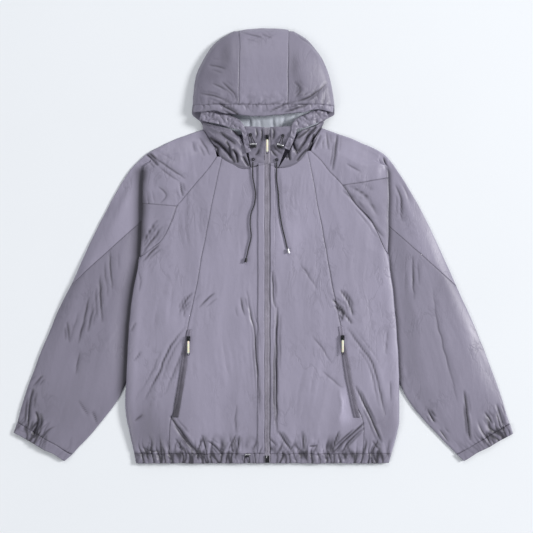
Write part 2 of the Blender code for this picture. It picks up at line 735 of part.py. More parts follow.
def sleeve(side, parts):
    name = SIDE_NAME[side]
    edges = ("first_row", "last_row", "first_column", "last_column")
    points = trim([sleeve_ring(side, station) for station in SHOULDER_STATIONS], edges)
    back_off(points, -1, -2)
    sheet(f"sleeve_shoulder_{name}", points, parts)

    points = trim([sleeve_ring(side, station) for station in LOWER_STATIONS], edges)
    back_off(points, 0, 1)
    armpit_row = LOWER_STATIONS.index(ARMPIT)
    points[armpit_row, :FIRST_ARM_COLUMN, 1] += SEAM_GAP

    def below_armpit(row, col):
        return row >= armpit_row and col < FIRST_ARM_COLUMN

    sheet(f"sleeve_lower_{name}", points, parts, absent=below_armpit)


def cuff(side, parts):
    points = []
    for station in (CUFF_SEAM, (CUFF_SEAM + CUFF_END) / 2, CUFF_END):
        arm = {name: ring_value(ARM[side], name, station) for name in Arm._fields}
        inner = np.array((arm["inner_x"], arm["inner_y"]))
        outer = np.array((arm["outer_x"], arm["outer_y"]))
        width = hypot(*(outer - inner))
        turn = BEND / width
        middle = CUFF_LOFT / 2 + 0.45
        row = [(inner, middle + 1.3)]
        for part in (turn, 0.2, 0.4, 0.6, 0.8, 1 - turn):
            place = mix(inner, outer, part)
            height = arm_height(side, station, *place, part * width, (1 - part) * width)
            row.append((place, max(height, middle + 1.6)))
        row.append((outer, middle))
        row += [(mix(inner, outer, part), CASING / 2) for part in (1 - turn, 0.8, 0.6, 0.4, 0.2, turn)]
        row.append((inner, middle - 1.3))
        points.append([(side * place[0], place[1], z) for place, z in row])
    points = trim(points, ("first_row",))
    points[0] += unit(points[1] - points[0]) * SEAM_GAP
    sheet(f"cuff_{SIDE_NAME[side]}", points, parts, wall=CASING)


# ---------------------------------------------------------------- hood
def crown_drop(x, y):
    """How far the hood's rows bend down towards the sides of the crown."""
    return 5.0 * (x / 60.0) ** 2 * ramp((y - 850.0) / 60.0)


def hood_centre(parts):
    upper = (BRIM_SEAM_Y, 784, 814, 844, 870, 893, 906)
    lower = (906, 870, 820, 752, 735, 700, 0)
    points = []
    for layer, rows in ((1, upper), (0, (CROWN_Y,)), (-1, lower)):
        for y in rows:
            row = []
            for part in (0.0, 0.25, 0.5, 0.75, 1.0):
                row.append(hood_centre_point(layer, y, part))
            points.append(row)
    edges = ("first_row", "last_row", "first_column", "last_column")
    sheet("hood_centre", trim(points, edges), parts)


def hood_centre_point(layer, y, part):
    seams = {}
    for side in (-1, 1):
        rows = HOOD_LOW[side][::-1] + HOOD[side]
        seams[side] = side * smooth(column(rows, "seam_y"), column(rows, "seam_x"), y)
    x = mix(seams[-1], seams[1], part)
    if y == 0:
        return (x, back_neck_y(x) + SEAM_GAP, FLOOR)
    row_y = y - crown_drop(x, y)
    if layer > 0:
        return (x, row_y, hood_height(x, row_y))
    return (x, row_y, FLOOR if layer < 0 else HOOD_EDGE - 0.8)


def hood_side(side, parts):
    turn = 2 * BEND
    rows = [(row, False) for row in HOOD_LOW[side][::-1]] + [(row, True) for row in HOOD[side]]
    points = []
    for row, upper in rows:
        seam = np.array((row.seam_x, row.seam_y))
        edge = np.array((row.edge_x, row.edge_y))
        bend = mix(edge, seam, min(turn / hypot(*(edge - seam)), 0.4))
        rim = (hood_rim(row.edge_y) + FLOOR) / 2 if upper else FLOOR
        line = []
        for part in (0.0, 0.3, 0.6, 1.0):
            place = mix(seam, bend, part)
            line.append((side * place[0], place[1], hood_height(side * place[0], place[1])))
        line.append((side * edge[0], edge[1], rim))
        for part in (0.0, 0.4, 0.7, 1.0):
            place = mix(bend, seam, part)
            line.append((side * place[0], place[1], FLOOR))
        points.append(line)
    for col, (x, _, _) in enumerate(points[0]):
        points[0][col] = (x, back_neck_y(x) + 2 * SEAM_GAP, FLOOR)
    first_upper = len(HOOD_LOW[side])
    edge_column = 4

    def below_brim(row, col):
        return row < first_upper and col < edge_column

    points = trim(points, ("last_row", "first_column", "last_column", "first_row"))
    points[first_upper, :edge_column] += (0.0, SEAM_GAP / 2, 0.0)
    sheet(f"hood_side_{SIDE_NAME[side]}", points, parts, absent=below_brim)


def brim_height(x, y):
    """Middle of the brim casing, whose ends come down as the hood side beside them does."""
    edge = HOOD[-1 if x < 0 else 1][0].edge_x
    bend = edge - 2 * BEND
    if abs(x) <= bend:
        return hood_height(x, y)
    top = hood_height(np.copysign(bend, x), y)
    return mix(top, (hood_rim(y) + FLOOR) / 2, min((abs(x) - bend) / (edge - bend), 1.0))


def hood_brim(parts):
    """Casing along the front of the hood: its outer layer, turned edge and inner layer."""
    left, right = HOOD[-1][0].edge_x, HOOD[1][0].edge_x
    flat = np.linspace(2 * BEND - left, right - 2 * BEND, 17)
    xs = [BRIM_CLEAR - left, *flat, right - BRIM_CLEAR]
    rows = []
    for depth, drop in ((1.0, 0.0), (0.35, 0.2), (0.0, 1.9), (0.35, 3.9), (0.9, 4.2)):
        row = []
        for x in xs:
            edge_y = smooth(column(BRIM_EDGE, "x"), column(BRIM_EDGE, "y"), x)
            y = mix(edge_y, BRIM_SEAM_Y, depth)
            inwards = drop * 0.6 if x in (xs[0], xs[-1]) else 0.0
            row.append((x - np.copysign(inwards, x), y, brim_height(x, y) - drop))
        rows.append(row)
    sheet("hood_brim", trim(rows, ("first_row",)), parts)


def hood_neck(side, parts):
    """Lower front of a hood side panel, lying in long rolls between neck seam and face opening."""
    points = []
    rows = HOOD_NECK[side]
    for part in np.linspace(0.0, 1.0, 9):
        line = []
        for i in np.linspace(0, len(rows) - 1, 12):
            low = np.array((ring_value(rows, "low_x", i), ring_value(rows, "low_y", i)))
            high = np.array((ring_value(rows, "high_x", i), ring_value(rows, "high_y", i)))
            place = mix(low, high, part)
            along = i / (len(rows) - 1)
            low_z = front_height(side * low[0], low[1]) + STACK
            high_z = mix(13.0, 25.0, ramp(along / 0.6)) - 1.5 * ramp(along * 3 - 2)
            swell = NECK_RISE * np.sin(pi * part) * mix(0.5, 1.0, ramp(along * 2))
            rolls = 2.2 * np.sin(2 * pi * NECK_ROLLS[side] * part)
            fade = ramp(min(along, 0.96 - along) * 3)
            line.append((side * place[0], place[1], mix(low_z, high_z, part) + (swell + rolls) * fade))
        points.append(line)
    edges = ("first_row", "last_row", "first_column", "last_column")
    sheet(f"hood_neck_{SIDE_NAME[side]}", trim(points, edges), parts)


def opening_casing(side, parts):
    """Casing strip along the side of the face opening, turned down beside the collar."""
    rows = OPENING_CASING[side]
    stations = np.linspace(0, len(rows) - 1, 15)
    centre = np.array([[ring_value(rows, name, s) for name in ("x", "y", "z")] for s in stations])
    ahead = unit(np.gradient(centre[:, :2], axis=0))
    lines = []
    for across in (-0.5, 0.0, 0.5):
        line = []
        for place, (dx, dy), s in zip(centre, ahead, stations):
            width = ring_value(rows, "width", s) * across
            crown = 0.0 if across else 1.2
            line.append((side * (place[0] - dy * width), place[1] + dx * width, place[2] + crown))
        lines.append(line)
    sheet(f"hood_casing_{SIDE_NAME[side]}", np.array(lines), parts)


def hood_lining(parts):
    """The part of the lining that the face opening shows, above the back of the hood."""
    points = []
    for y in (690, 706, 722, 740, 758):
        row = []
        for x in np.linspace(-98, 90, 11):
            z = mix(LINING_LOW, LINING_HIGH, ramp((y - 690) / 68))
            row.append((x, y, z))
        points.append(row)
    sheet("hood_lining", np.array(points, float), parts, material="lining")


def collar(side, parts):
    """Front of the collar, from the zip to the casing strip beside it."""
    inner = ZIP_LEFT if side < 0 else ZIP_RIGHT
    low, high = ((32.0, 45.0) if side < 0 else (26.0, 58.0))
    points = []
    for part in np.linspace(0.0, 1.0, 7):
        row = []
        for across in (0.0, 0.25, 0.5, 0.75, 1.0):
            x = side * mix(inner, mix(low, high, part), across)
            top = ZIP_TOP + 1.0 + 2.0 * across
            y = mix(neck_seam_y(x), top, part)
            row.append((x, y, collar_height(x, y)))
        points.append(row)
    edges = ("first_row", "first_column", "last_column")
    sheet(f"collar_{SIDE_NAME[side]}", trim(points, edges), parts)


# ---------------------------------------------------------------- zips and facings
def centre_height(x, y):
    """Front cloth beside the zip, carried on up the collar."""
    return collar_height(x, y) if y > neck_seam_y(x) else front_height(x, y)


def strip_on_front(name, rows, parts, lift, material="nylon"):
    """Strip laid along the front: rows of Y, left X and right X."""
    points = []
    for y, left, right in rows:
        row = [(x, y, centre_height(x, y) + lift) for x in (left, (left + right) / 2, right)]
        points.append(row)
    return sheet(name, np.array(points, float), parts, material=material)


def front_zip(parts):
    edge = SEAM_GAP
    lower = (1.0,) + LOWER_ROWS
    rows = [(y, -ZIP_LEFT + edge, ZIP_RIGHT - edge) for y in lower + (470, 540, 620, 632, 656, 680, ZIP_TOP)]
    strip_on_front("front_zip", rows, parts, 0.0, "coil")
    block("zip_box", (9.0, 15.0, 2.6), (2.6, 9.0, HEM_FRONT + CLOTH / 2 + 0.3 + 1.3), "black_plastic",
          parts, bevel=0.6)
    for side, near_zip, far in ((-1, ZIP_LEFT + 0.4, PLACKET_LEFT), (1, ZIP_RIGHT + 0.4, PLACKET_RIGHT)):
        inner, outer = sorted((side * near_zip, side * far))
        rows = [(y, inner, outer) for y in (CASING_DEPTH + 1.0,) + LOWER_ROWS[1:] + (470, 540, PLACKET_TOP)]
        strip_on_front(f"placket_{SIDE_NAME[side]}", rows, parts, STACK)


def pocket_zip(side, parts):
    rows = POCKET_ZIP[side]
    lines = []
    for y in np.linspace(rows[0].y, rows[-1].y, 8):
        ys = column(rows, "y")[::-1]
        middle = side * smooth(ys, column(rows, "x")[::-1], y)
        half = smooth(ys, column(rows, "width")[::-1], y) / 2
        lines.append((y, middle - half, middle + half))
    strip_on_front(f"pocket_zip_{SIDE_NAME[side]}", lines, parts, STACK, "coil")


SLIDER = (8.0, 10.0, 3.2)
ARCH_RADIUS, ARCH_ROD = 3.0, 0.6
PIN_RADIUS = 0.6
PIN_RISE = 1.25                  # hinge axis above the slider's body
TAB_WIDTH, TAB_WALL = 5.4, 1.2
EYE = (3.2, 4.5)                 # clear width, and reach from the hinge axis to the tab
PULL_LENGTH = 36.0


def slider(name, x, y, base, material, parts):
    """Slider body with an arch along the zip for the pull tab to hang on."""
    width, length, depth = SLIDER
    top = base + depth
    body = block(name, SLIDER, (x, y, base + depth / 2), material, parts, bevel=0.7)
    count = 13
    arch = bpy.data.curves.new(f"{name}_arch", "CURVE")
    arch.dimensions = "3D"
    arch.bevel_depth = ARCH_ROD * MM
    arch.bevel_resolution = 1
    arch.use_fill_caps = True
    spline = arch.splines.new("POLY")
    spline.points.add(count - 1)
    for point, angle in zip(spline.points, np.linspace(-0.15, pi + 0.15, count)):
        place = placed(x, y + ARCH_RADIUS * np.cos(angle), top + ARCH_RADIUS * np.sin(angle))
        point.co = (*place, 1.0)
    guide = bpy.data.objects.new(f"{name}_arch_curve", arch)
    bpy.context.scene.collection.objects.link(guide)
    depsgraph = bpy.context.evaluated_depsgraph_get()
    solid = bpy.data.meshes.new_from_object(guide.evaluated_get(depsgraph))
    bpy.data.objects.remove(guide)
    bm = bmesh.new()
    bm.from_mesh(solid)
    bmesh.ops.remove_doubles(bm, verts=bm.verts, dist=1e-6)
    tools = bpy.data.collections["cutters"]
    loop = mesh_object(f"{name}_arch_solid", bm, material, tools)
    as_tool(loop)
    join(body, loop, "arch")
    return top + PIN_RISE


def pull_tab(name, x, y, axis_z, material, parts):
    """Pull tab whose eye hangs on the slider's arch; its origin lies on the hinge axis."""
    hinge = placed(x, y, axis_z)
    bm = bmesh.new()
    bmesh.ops.create_cube(bm, size=1.0)
    body_length = PULL_LENGTH - EYE[1] + 0.4
    bmesh.ops.scale(bm, vec=Vector((TAB_WIDTH, body_length + EYE[1], TAB_WALL)) * MM, verts=bm.verts)
    bmesh.ops.translate(bm, vec=Vector((0, -(body_length + EYE[1]) / 2 + PIN_RADIUS, 0)) * MM, verts=bm.verts)
    tab = mesh_object(name, bm, material, parts)
    tab.location = hinge
    tools = bpy.data.collections["cutters"]
    bm = bmesh.new()
    bmesh.ops.create_cube(bm, size=1.0)
    bmesh.ops.scale(bm, vec=Vector((EYE[0], EYE[1] - PIN_RADIUS, 4.0)) * MM, verts=bm.verts)
    bmesh.ops.translate(bm, vec=Vector((0, -(EYE[1] + PIN_RADIUS) / 2, 0)) * MM, verts=bm.verts)
    eye = mesh_object(f"{name}_eye", bm, material, tools)
    eye.location = hinge
    as_tool(eye)
    subtract(tab, eye, "eye")
    return tab


def zip_hardware(parts):
    x, y = FRONT_PULL
    base = centre_height(x, y + SLIDER[1] / 2) + ON_CLOTH
    axis = slider("front_slider", x, y, base, "steel", parts)
    pull_tab("front_pull", x, y, axis, "cream_rubber", parts)
    for side in (-1, 1):
        x, y = POCKET_PULL[side]
        name = SIDE_NAME[side]
        base = front_height(x, y) + STACK + ON_CLOTH
        axis = slider(f"pocket_slider_{name}", x, y, base, "steel", parts)
        pull_tab(f"pocket_pull_{name}", x, y, axis, "cream_rubber", parts)


# ---------------------------------------------------------------- cords and their hardware
EYELET_RADIUS, EYELET_ROD = 2.6, 0.9


def eyelets(parts):
    for side in (-1, 1):
        name = SIDE_NAME[side]
        for level, places in (("upper", EYELET_UPPER), ("lower", EYELET_LOWER)):
            x, y = places[side]
            z = centre_height(x, y) + CLOTH / 2 + 1.1 + EYELET_ROD
            ring(f"eyelet_{level}_{name}", EYELET_RADIUS, EYELET_ROD, (x, y, z), "black_plastic", parts)
    x, y = HEM_EYELET
    z = HEM_FRONT + CASING / 2 + 0.35 + EYELET_ROD
    ring("hem_eyelet", EYELET_RADIUS + 1.0, EYELET_ROD, (x, y, z), "steel", parts)


LOCK_SIZE = (12.0, 9.0, 6.0)


def cord_locks(parts):
    for side in (-1, 1):
        name = SIDE_NAME[side]
        x, y, turn = CORD_LOCK[side]
        base = centre_height(x, y) + CLOTH / 2 + 1.6
        block(f"cord_lock_{name}", LOCK_SIZE, (x, y, base + LOCK_SIZE[2] / 2), "black_plastic", parts,
              turn=turn, bevel=1.4)
        eye_x, eye_y = EYELET_UPPER[side]
        eye_z = centre_height(eye_x, eye_y) + CLOTH / 2 + 1.1 + 2 * EYELET_ROD + 0.4 + SHORT_CORD / 2
        lock_z = base + LOCK_SIZE[2] / 2
        ends = []
        for spread in (-3.0, 3.0):
            away = Matrix.Rotation(radians(turn), 2) @ Vector((spread, LOCK_SIZE[1] / 2 + 1.2))
            ends.append((x + away.x, y + away.y, lock_z))
        halfway = [(mix(end[0], eye_x, 0.5), mix(end[1], eye_y, 0.5), eye_z + 1.0) for end in ends]
        loop = [(eye_x - 1.8, eye_y - 1.5, eye_z + 0.5), (eye_x, eye_y + 0.6, eye_z + 0.5),
                (eye_x + 1.8, eye_y - 1.5, eye_z + 0.5)]
        route = [ends[0], halfway[0]] + loop + [halfway[1], ends[1]]
        tube(f"cord_short_{name}", route, SHORT_CORD, parts)


BEAD_RADIUS, BEAD_LENGTH = 3.2, 9.0


def drawcords(parts):
    for side in (-1, 1):
        name = SIDE_NAME[side]
        plan = CORD_ROUTE[side]
        lie = CLOTH / 2 + 0.35 + CORD / 2
        route = [(x, y, max(centre_height(x, y), centre_height(x, y + 9.0)) + lie) for x, y in plan]
        route[0] = (*route[0][:2], route[0][2] + 0.8)
        tube(f"cord_{name}", route, CORD, parts)
        end = np.array(plan[-1], float)
        ahead = unit(end - np.array(plan[-2], float))
        middle = end + ahead * (BEAD_LENGTH / 2 + 0.5)
        bm = bmesh.new()
        bmesh.ops.create_cone(bm, cap_ends=True, segments=16, radius1=BEAD_RADIUS * MM,
                              radius2=0.72 * BEAD_RADIUS * MM, depth=BEAD_LENGTH * MM)
        bead = mesh_object(f"cord_bead_{name}", bm, "steel" if side > 0 else "black_plastic", parts)
        height = centre_height(*middle) + CLOTH / 2 + 0.35 + BEAD_RADIUS
        direction = Vector((-ahead[0], -ahead[1], 0.0))
        bead.matrix_world = Matrix.Translation(placed(*middle, height)) @ direction.to_track_quat("Z", "Y").to_matrix().to_4x4()


def hem_cord(parts):
    x, y = HEM_EYELET
    z = HEM_FRONT + CASING / 2 + 0.35 + SHORT_CORD / 2
    above = z + 2 * EYELET_ROD + 0.4
    route = [(x - 4.5, 1.0, z), (x - 5.0, 9.0, z + 1.0), (x - 3.0, y, above + 0.3), (x, y + 2.0, above + 0.3),
             (x + 3.0, y, above + 0.3), (x + 5.0, 9.0, z + 1.0), (x + 4.0, 1.0, z)]
    tube("hem_cord_loop", route, SHORT_CORD, parts)


# ---------------------------------------------------------------- the whole jacket
def build():
    clear_scene()
    parts = new_collection("windbreaker_jacket")
    new_collection("cutters")
    back_panel(parts)
    for side in (-1, 1):
        front_centre_panel(side, parts)
        front_side_panel(side, parts)
        sleeve(side, parts)
        cuff(side, parts)
        hood_side(side, parts)
        hood_neck(side, parts)
        opening_casing(side, parts)
        collar(side, parts)
        pocket_zip(side, parts)
    hem_bands(parts)
    hood_centre(parts)
    hood_brim(parts)
    hood_lining(parts)
    front_zip(parts)
    zip_hardware(parts)
    eyelets(parts)
    cord_locks(parts)
    drawcords(parts)
    hem_cord(parts)


build()
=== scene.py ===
"""Looks of a hooded windbreaker jacket of thin nylon, laid flat and face up on a level surface.

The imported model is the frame. Each cloth node is stood for by a thin shell that follows the node's own
form at a finer step, with its creases, seam puckers and gathers added. Lengths in the tables are
millimetres: the zip runs along X = 0, the hem lies at Y = 0, the hood is towards +Y and +Z points away
from the surface. Tables give distances outwards from the zip, so both sides share one form.
"""

from collections import namedtuple
from math import hypot, pi, radians

import bmesh
import bpy
import numpy as np
from mathutils import Matrix, Vector
from mathutils.bvhtree import BVHTree


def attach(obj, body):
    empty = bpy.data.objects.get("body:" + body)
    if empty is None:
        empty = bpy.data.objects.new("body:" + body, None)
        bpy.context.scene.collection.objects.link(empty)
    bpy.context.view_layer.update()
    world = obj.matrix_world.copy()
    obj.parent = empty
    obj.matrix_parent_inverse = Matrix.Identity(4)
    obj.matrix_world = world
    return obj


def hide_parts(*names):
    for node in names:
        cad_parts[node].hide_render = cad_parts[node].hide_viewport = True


bl_info = {
    "name": "Windbreaker jacket",
    "version": (1, 0, 0),
    "blender": (4, 5, 0),
    "location": "3D View > Sidebar > Jacket",
    "description": "Builds the looks of a hooded nylon windbreaker that lies flat",
    "category": "Object",
}

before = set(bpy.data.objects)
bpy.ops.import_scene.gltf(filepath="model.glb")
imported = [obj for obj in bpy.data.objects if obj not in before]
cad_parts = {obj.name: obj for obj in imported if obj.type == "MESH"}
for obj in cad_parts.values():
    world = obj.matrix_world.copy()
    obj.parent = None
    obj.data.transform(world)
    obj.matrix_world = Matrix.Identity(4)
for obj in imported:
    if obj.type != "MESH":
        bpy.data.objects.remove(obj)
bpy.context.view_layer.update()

# ---------------- driving sizes, mm
MM = 0.001
PLAN_CENTRE = (-5.5, 457.7)      # middle of the laid-out jacket, which becomes the origin

CLOTH = 1.0                      # wall of one cloth layer
CASING = 1.8                     # wall of a hem, cuff or brim casing: two layers and an elastic
SEAM_GAP = 0.16                  # between neighbouring shells at a seam
STACK = CLOTH + 0.45             # from a panel's middle to the middle of a strip that lies on it
FLOOR = CLOTH / 2                # middle of a layer that lies on the surface

BODY_LOFT = 17.0                 # middle of the front cloth above the surface
BODY_EDGE = 10.8                 # front cloth where it turns under at a side or at the shoulder fold
SHOULDER_EDGE = 4.6              # front cloth at the top of the shoulder
HEM_FRONT = 8.4
SIDE_SOFT = 70.0                 # width over which the front rises from its side edge
SLEEVE_UNDER = 4.6               # sleeve front where the body covers it
TUCK = 7.4                       # middle layer of the shoulder fold, and the back where it covers a sleeve
APEX_SLEEVE, APEX_TUCK = 2.9, 4.9
ARM_LOFT = 14.5
CUFF_LOFT = 8.2
ARM_EDGE = 2.4                   # middle of the turned edge of a flattened sleeve
ARM_SOFT = 60.0
CASING_DEPTH = 20.0              # hem and cuff casings, measured along the garment
BEND = 4.0                       # flat distance over which cloth turns at a folded edge

HOOD_LOFT = 34.0
HOOD_EDGE = 3.0
HOOD_SOFT = 105.0
LINING_LOW, LINING_HIGH = 9.0, 17.0
COLLAR_RISE = 8.0                # collar top above the front cloth
NECK_RISE = 4.5                  # rolls of cloth below the hood's face opening

ZIP_LEFT, ZIP_RIGHT = 3.0, 9.0   # turned edges of the fronts beside the zip coil
PLACKET_LEFT, PLACKET_RIGHT = 17.0, 18.0
PLACKET_TOP = 630.0
ZIP_TOP = 704.0

CORD = 2.5                       # drawcord
SHORT_CORD = 1.8                 # the strands between an upper eyelet and its cord lock
ON_CLOTH = CLOTH / 2 + 0.35      # clear height of a hard piece above the cloth's middle

SHELL = 0.6                      # thickness of a cloth shell; a casing's is 1.8 times that

CAMERA_OVER = (6.5, -44.0)       # place straight below the camera, from the part's origin
CAMERA_LIFT = 0.012              # of the camera's height, from the surface to the cloth's middle, m
SURFACE_HALF = 6.0               # half width of the board, m
SURFACE_DROP = 0.0004            # of the board below the part's lowest point, m
FILL = 0.36                      # strength of the light from all round
FILL_COLOUR = (0.94, 0.965, 1.0, 1.0)
# Soft boxes: place and size in metres, power in watts.
LAMPS = (("key", (7.6, 2.0, 4.6), 2.2, 730.0),
         ("top", (-1.0, 5.6, 6.4), 3.6, 110.0),
         ("side", (-4.6, -3.0, 4.4), 3.0, 105.0))


# ---------------- tables, mm
def named(kind, rows):
    """A table's rows with their fields named."""
    return [kind(*row) for row in rows]


def sides(kind, tables):
    """The same for the tables of the left side (-1) and the right side (1)."""
    return {side: named(kind, rows) for side, rows in tables.items()}


Body = namedtuple("Body", "y side princess")
BODY = sides(Body, {
    -1: ((0, 273, 204), (62, 286, 203), (96, 293, 199), (129, 296, 185),
         (180, 293, 178), (238, 291, 170), (276, 288, 166), (324, 284, 156),
         (366, 278, 147), (434, 264, 135)),
    1: ((0, 258, 204), (62, 275, 205), (96, 280, 202), (129, 280, 186),
        (180, 279, 174), (238, 277, 165), (280, 274, 158), (324, 270, 149),
        (366, 266, 140), (436, 255, 128)),
})
Princess = namedtuple("Princess", "y x")
PRINCESS_TOP = sides(Princess, {
    -1: ((448, 132), (522, 118), (606, 101), (644, 92)),
    1: ((480, 120), (543, 108), (606, 97), (656, 86)),
})

# Rings round the shoulder: raglan seam, shoulder fold and back raglan seam.
Shoulder = namedtuple("Shoulder", "raglan_x raglan_y fold_x fold_y back_x back_y")
SHOULDER = sides(Shoulder, {
    -1: ((103.5, 644, 108, 664, 88, 672), (124, 615, 165, 655, 116, 637),
         (145, 591, 226, 640, 133, 610), (160, 573, 258, 622, 145, 588),
         (178, 551, 259.5, 578, 158, 562), (187, 541, 260, 546, 167, 540),
         (197, 510, 261, 510, 173, 505), (218, 471, 262.5, 472, 178, 465),
         (256, 439, 264, 436, 181, 428)),
    1: ((94, 656, 100, 672, 88, 672), (115, 636, 150, 664, 112, 637),
        (134, 612, 222, 636, 128, 610), (146, 600, 254, 624, 139, 590),
        (155, 590, 256.5, 611, 150, 567), (160, 584, 257, 600, 160, 542),
        (184, 549, 258, 550, 167, 505), (222, 507, 257.5, 500, 173, 465),
        (249, 450, 255.5, 442, 177, 426)),
})
# Rings round the sleeve: inner crease or underarm edge, and outer edge. The first nine carry on the
# shoulder rings, the sixth is the cross seam, the last is the cuff's open edge.
Arm = namedtuple("Arm", "inner_x inner_y outer_x outer_y")
ARM = sides(Arm, {
    -1: ((120, 683, 132, 702), (185, 667, 196, 679), (240, 646, 251, 650),
         (236, 618, 286, 616), (222, 585, 342, 520), (212, 555, 410, 375),
         (201, 515, 427, 342), (190, 465, 440, 315), (185, 425, 450, 291),
         (189, 385, 461, 264), (206, 322, 475, 230), (244, 249, 488, 195),
         (290, 177, 500, 163), (315, 129, 509, 137), (368, 62, 518, 108),
         (409, 18, 523, 86), (424, 5, 530, 64)),
    1: ((108, 688, 116, 705), (168, 676, 178, 683), (236, 642, 248, 650),
        (232, 618, 280, 610), (224, 575, 330, 524), (217, 536, 401, 371),
        (204, 505, 418, 334), (189, 460, 433, 299), (181, 423, 444, 275),
        (185, 385, 453, 253), (200, 322, 465, 221), (235, 245, 478, 187),
        (279, 171, 490, 155), (302, 129, 498, 130), (359, 62, 507, 101),
        (402, 18, 513, 83), (416, 5, 519, 62)),
})
CROSS_SEAM, ARMPIT, CUFF_SEAM, CUFF_END = 5, 8, 15, 16

Neck = namedtuple("Neck", "x y")
NECK_SEAM = sides(Neck, {
    -1: ((0, 628), (17, 626), (36, 621), (55, 624), (74, 633), (92, 644)),
    1: ((0, 628), (12, 626), (25, 621), (42, 624), (61, 630), (76, 641),
        (86, 656)),
})
BACK_NECK = sides(Neck, {
    -1: ((0, 669), (88, 672), (132, 702)),
    1: ((0, 669), (88, 672), (116, 705)),
})

# Hood rows from the brim's seam over the crown: centre-panel seam and outer edge.
Hood = namedtuple("Hood", "seam_x seam_y edge_x edge_y")
HOOD = sides(Hood, {
    -1: ((57, 752, 154, 752), (56.5, 784, 152, 784), (56, 814, 147, 814),
         (55.5, 844, 134, 845), (55.5, 870, 118, 871), (56.5, 893, 96, 893),
         (57.5, 908, 68, 909)),
    1: ((45, 752, 143, 752), (45.5, 784, 139, 784), (45.5, 814, 133, 814),
        (46.5, 844, 121, 845), (46.5, 870, 104, 871), (47, 893, 83, 894),
        (47.5, 908.5, 58, 909)),
})
# The back of the hood below the brim's seam: centre-back seam and outer edge, down to the neck.
HOOD_LOW = sides(Hood, {
    -1: ((56.5, 735, 156, 736), (56, 716, 137, 718), (55.5, 700, 132, 709),
         (55, 671, 131, 703)),
    1: ((45, 735, 144, 736), (45.5, 716, 124, 722), (46, 700, 117, 711),
        (46, 671, 117, 705)),
})
Brim = namedtuple("Brim", "x y")
BRIM_EDGE = named(Brim, ((-157, 737), (-124, 739), (-90, 735), (-52, 729), (-21, 728),
                         (17, 729), (47, 733), (82, 737), (116, 741), (145, 738)))
BRIM_SEAM_Y = 752.0
BRIM_CLEAR = 1.2                 # from the hood's outer edge to each end of the brim
CROWN_Y = 915.0

# Casing along the side of the face opening, then down beside the collar: centre line and width.
Strip = namedtuple("Strip", "x y z width")
OPENING_CASING = sides(Strip, {
    -1: ((138, 727, 20, 11), (112, 721, 23, 14), (86, 715, 25, 14),
         (66, 708, 27, 12), (51, 702, 29, 9), (44, 688, 29, 10),
         (41, 670, 28, 11), (36, 652, 27, 11)),
    1: ((130, 729, 20, 9), (110, 722, 23, 13), (90, 715, 25, 14),
        (74, 709, 27, 13), (61, 704, 29, 11), (57, 690, 29, 11),
        (50, 674, 28, 12), (43, 659, 26, 12)),
})
# Lower front of the hood side: from the outer edge to the collar, its seam end and its free end.
NeckRow = namedtuple("NeckRow", "low_x low_y high_x high_y")
HOOD_NECK = sides(NeckRow, {
    -1: ((132, 703, 133, 716), (126, 692, 122, 714), (113, 671, 104, 709),
         (101, 655, 88, 705), (90, 643, 74, 701), (70, 631.5, 61, 695),
         (50, 623.5, 53, 680), (34, 622, 44, 660)),
    1: ((117, 706, 122, 717), (110, 693, 111, 713), (100, 676, 100, 708),
        (91, 662, 88, 703), (80, 647.5, 76, 699), (62, 632, 68, 690),
        (44, 625.5, 60, 676), (28, 623, 48, 654)),
})
NECK_ROLLS = {-1: 3.0, 1: 2.6}   # rolls between the neck seam and the face opening

Pocket = namedtuple("Pocket", "y x width")
POCKET_ZIP = sides(Pocket, {
    -1: ((282, 160, 9), (240, 168, 10), (200, 173, 13), (150, 181, 13),
         (98, 190, 12)),
    1: ((288, 157, 9), (240, 163, 10), (200, 170, 13), (150, 179, 13),
        (98, 191, 12)),
})

# Drawcord routes over the front, from the lower eyelet to the bead.
CORD_ROUTE = {
    -1: ((-27.5, 632.5), (-28, 620), (-28, 604), (-24.5, 584), (-22, 564), (-24, 545), (-29, 532),
         (-32.5, 520), (-33.5, 503), (-31, 478), (-33, 466), (-36, 455), (-39, 442), (-41, 432)),
    1: ((22, 632), (22, 618), (22, 600), (24, 582), (26, 564), (26.5, 551), (27.5, 538),
        (29.5, 522), (32, 507), (35, 492), (39, 476), (42, 463), (45, 451)),
}
EYELET_UPPER = {-1: (-32.5, 689), 1: (35, 687)}
EYELET_LOWER = {-1: (-27, 638), 1: (22.3, 637)}
CORD_LOCK = {-1: (-26, 666.5, 0), 1: (29, 665.5, -16)}   # X, Y and turn in degrees
HEM_EYELET = (-40, 17)
FRONT_PULL = (2.5, 684)
POCKET_PULL = {-1: (-162.5, 263), 1: (160.5, 265)}

SIDE_NAME = {-1: "left", 1: "right"}

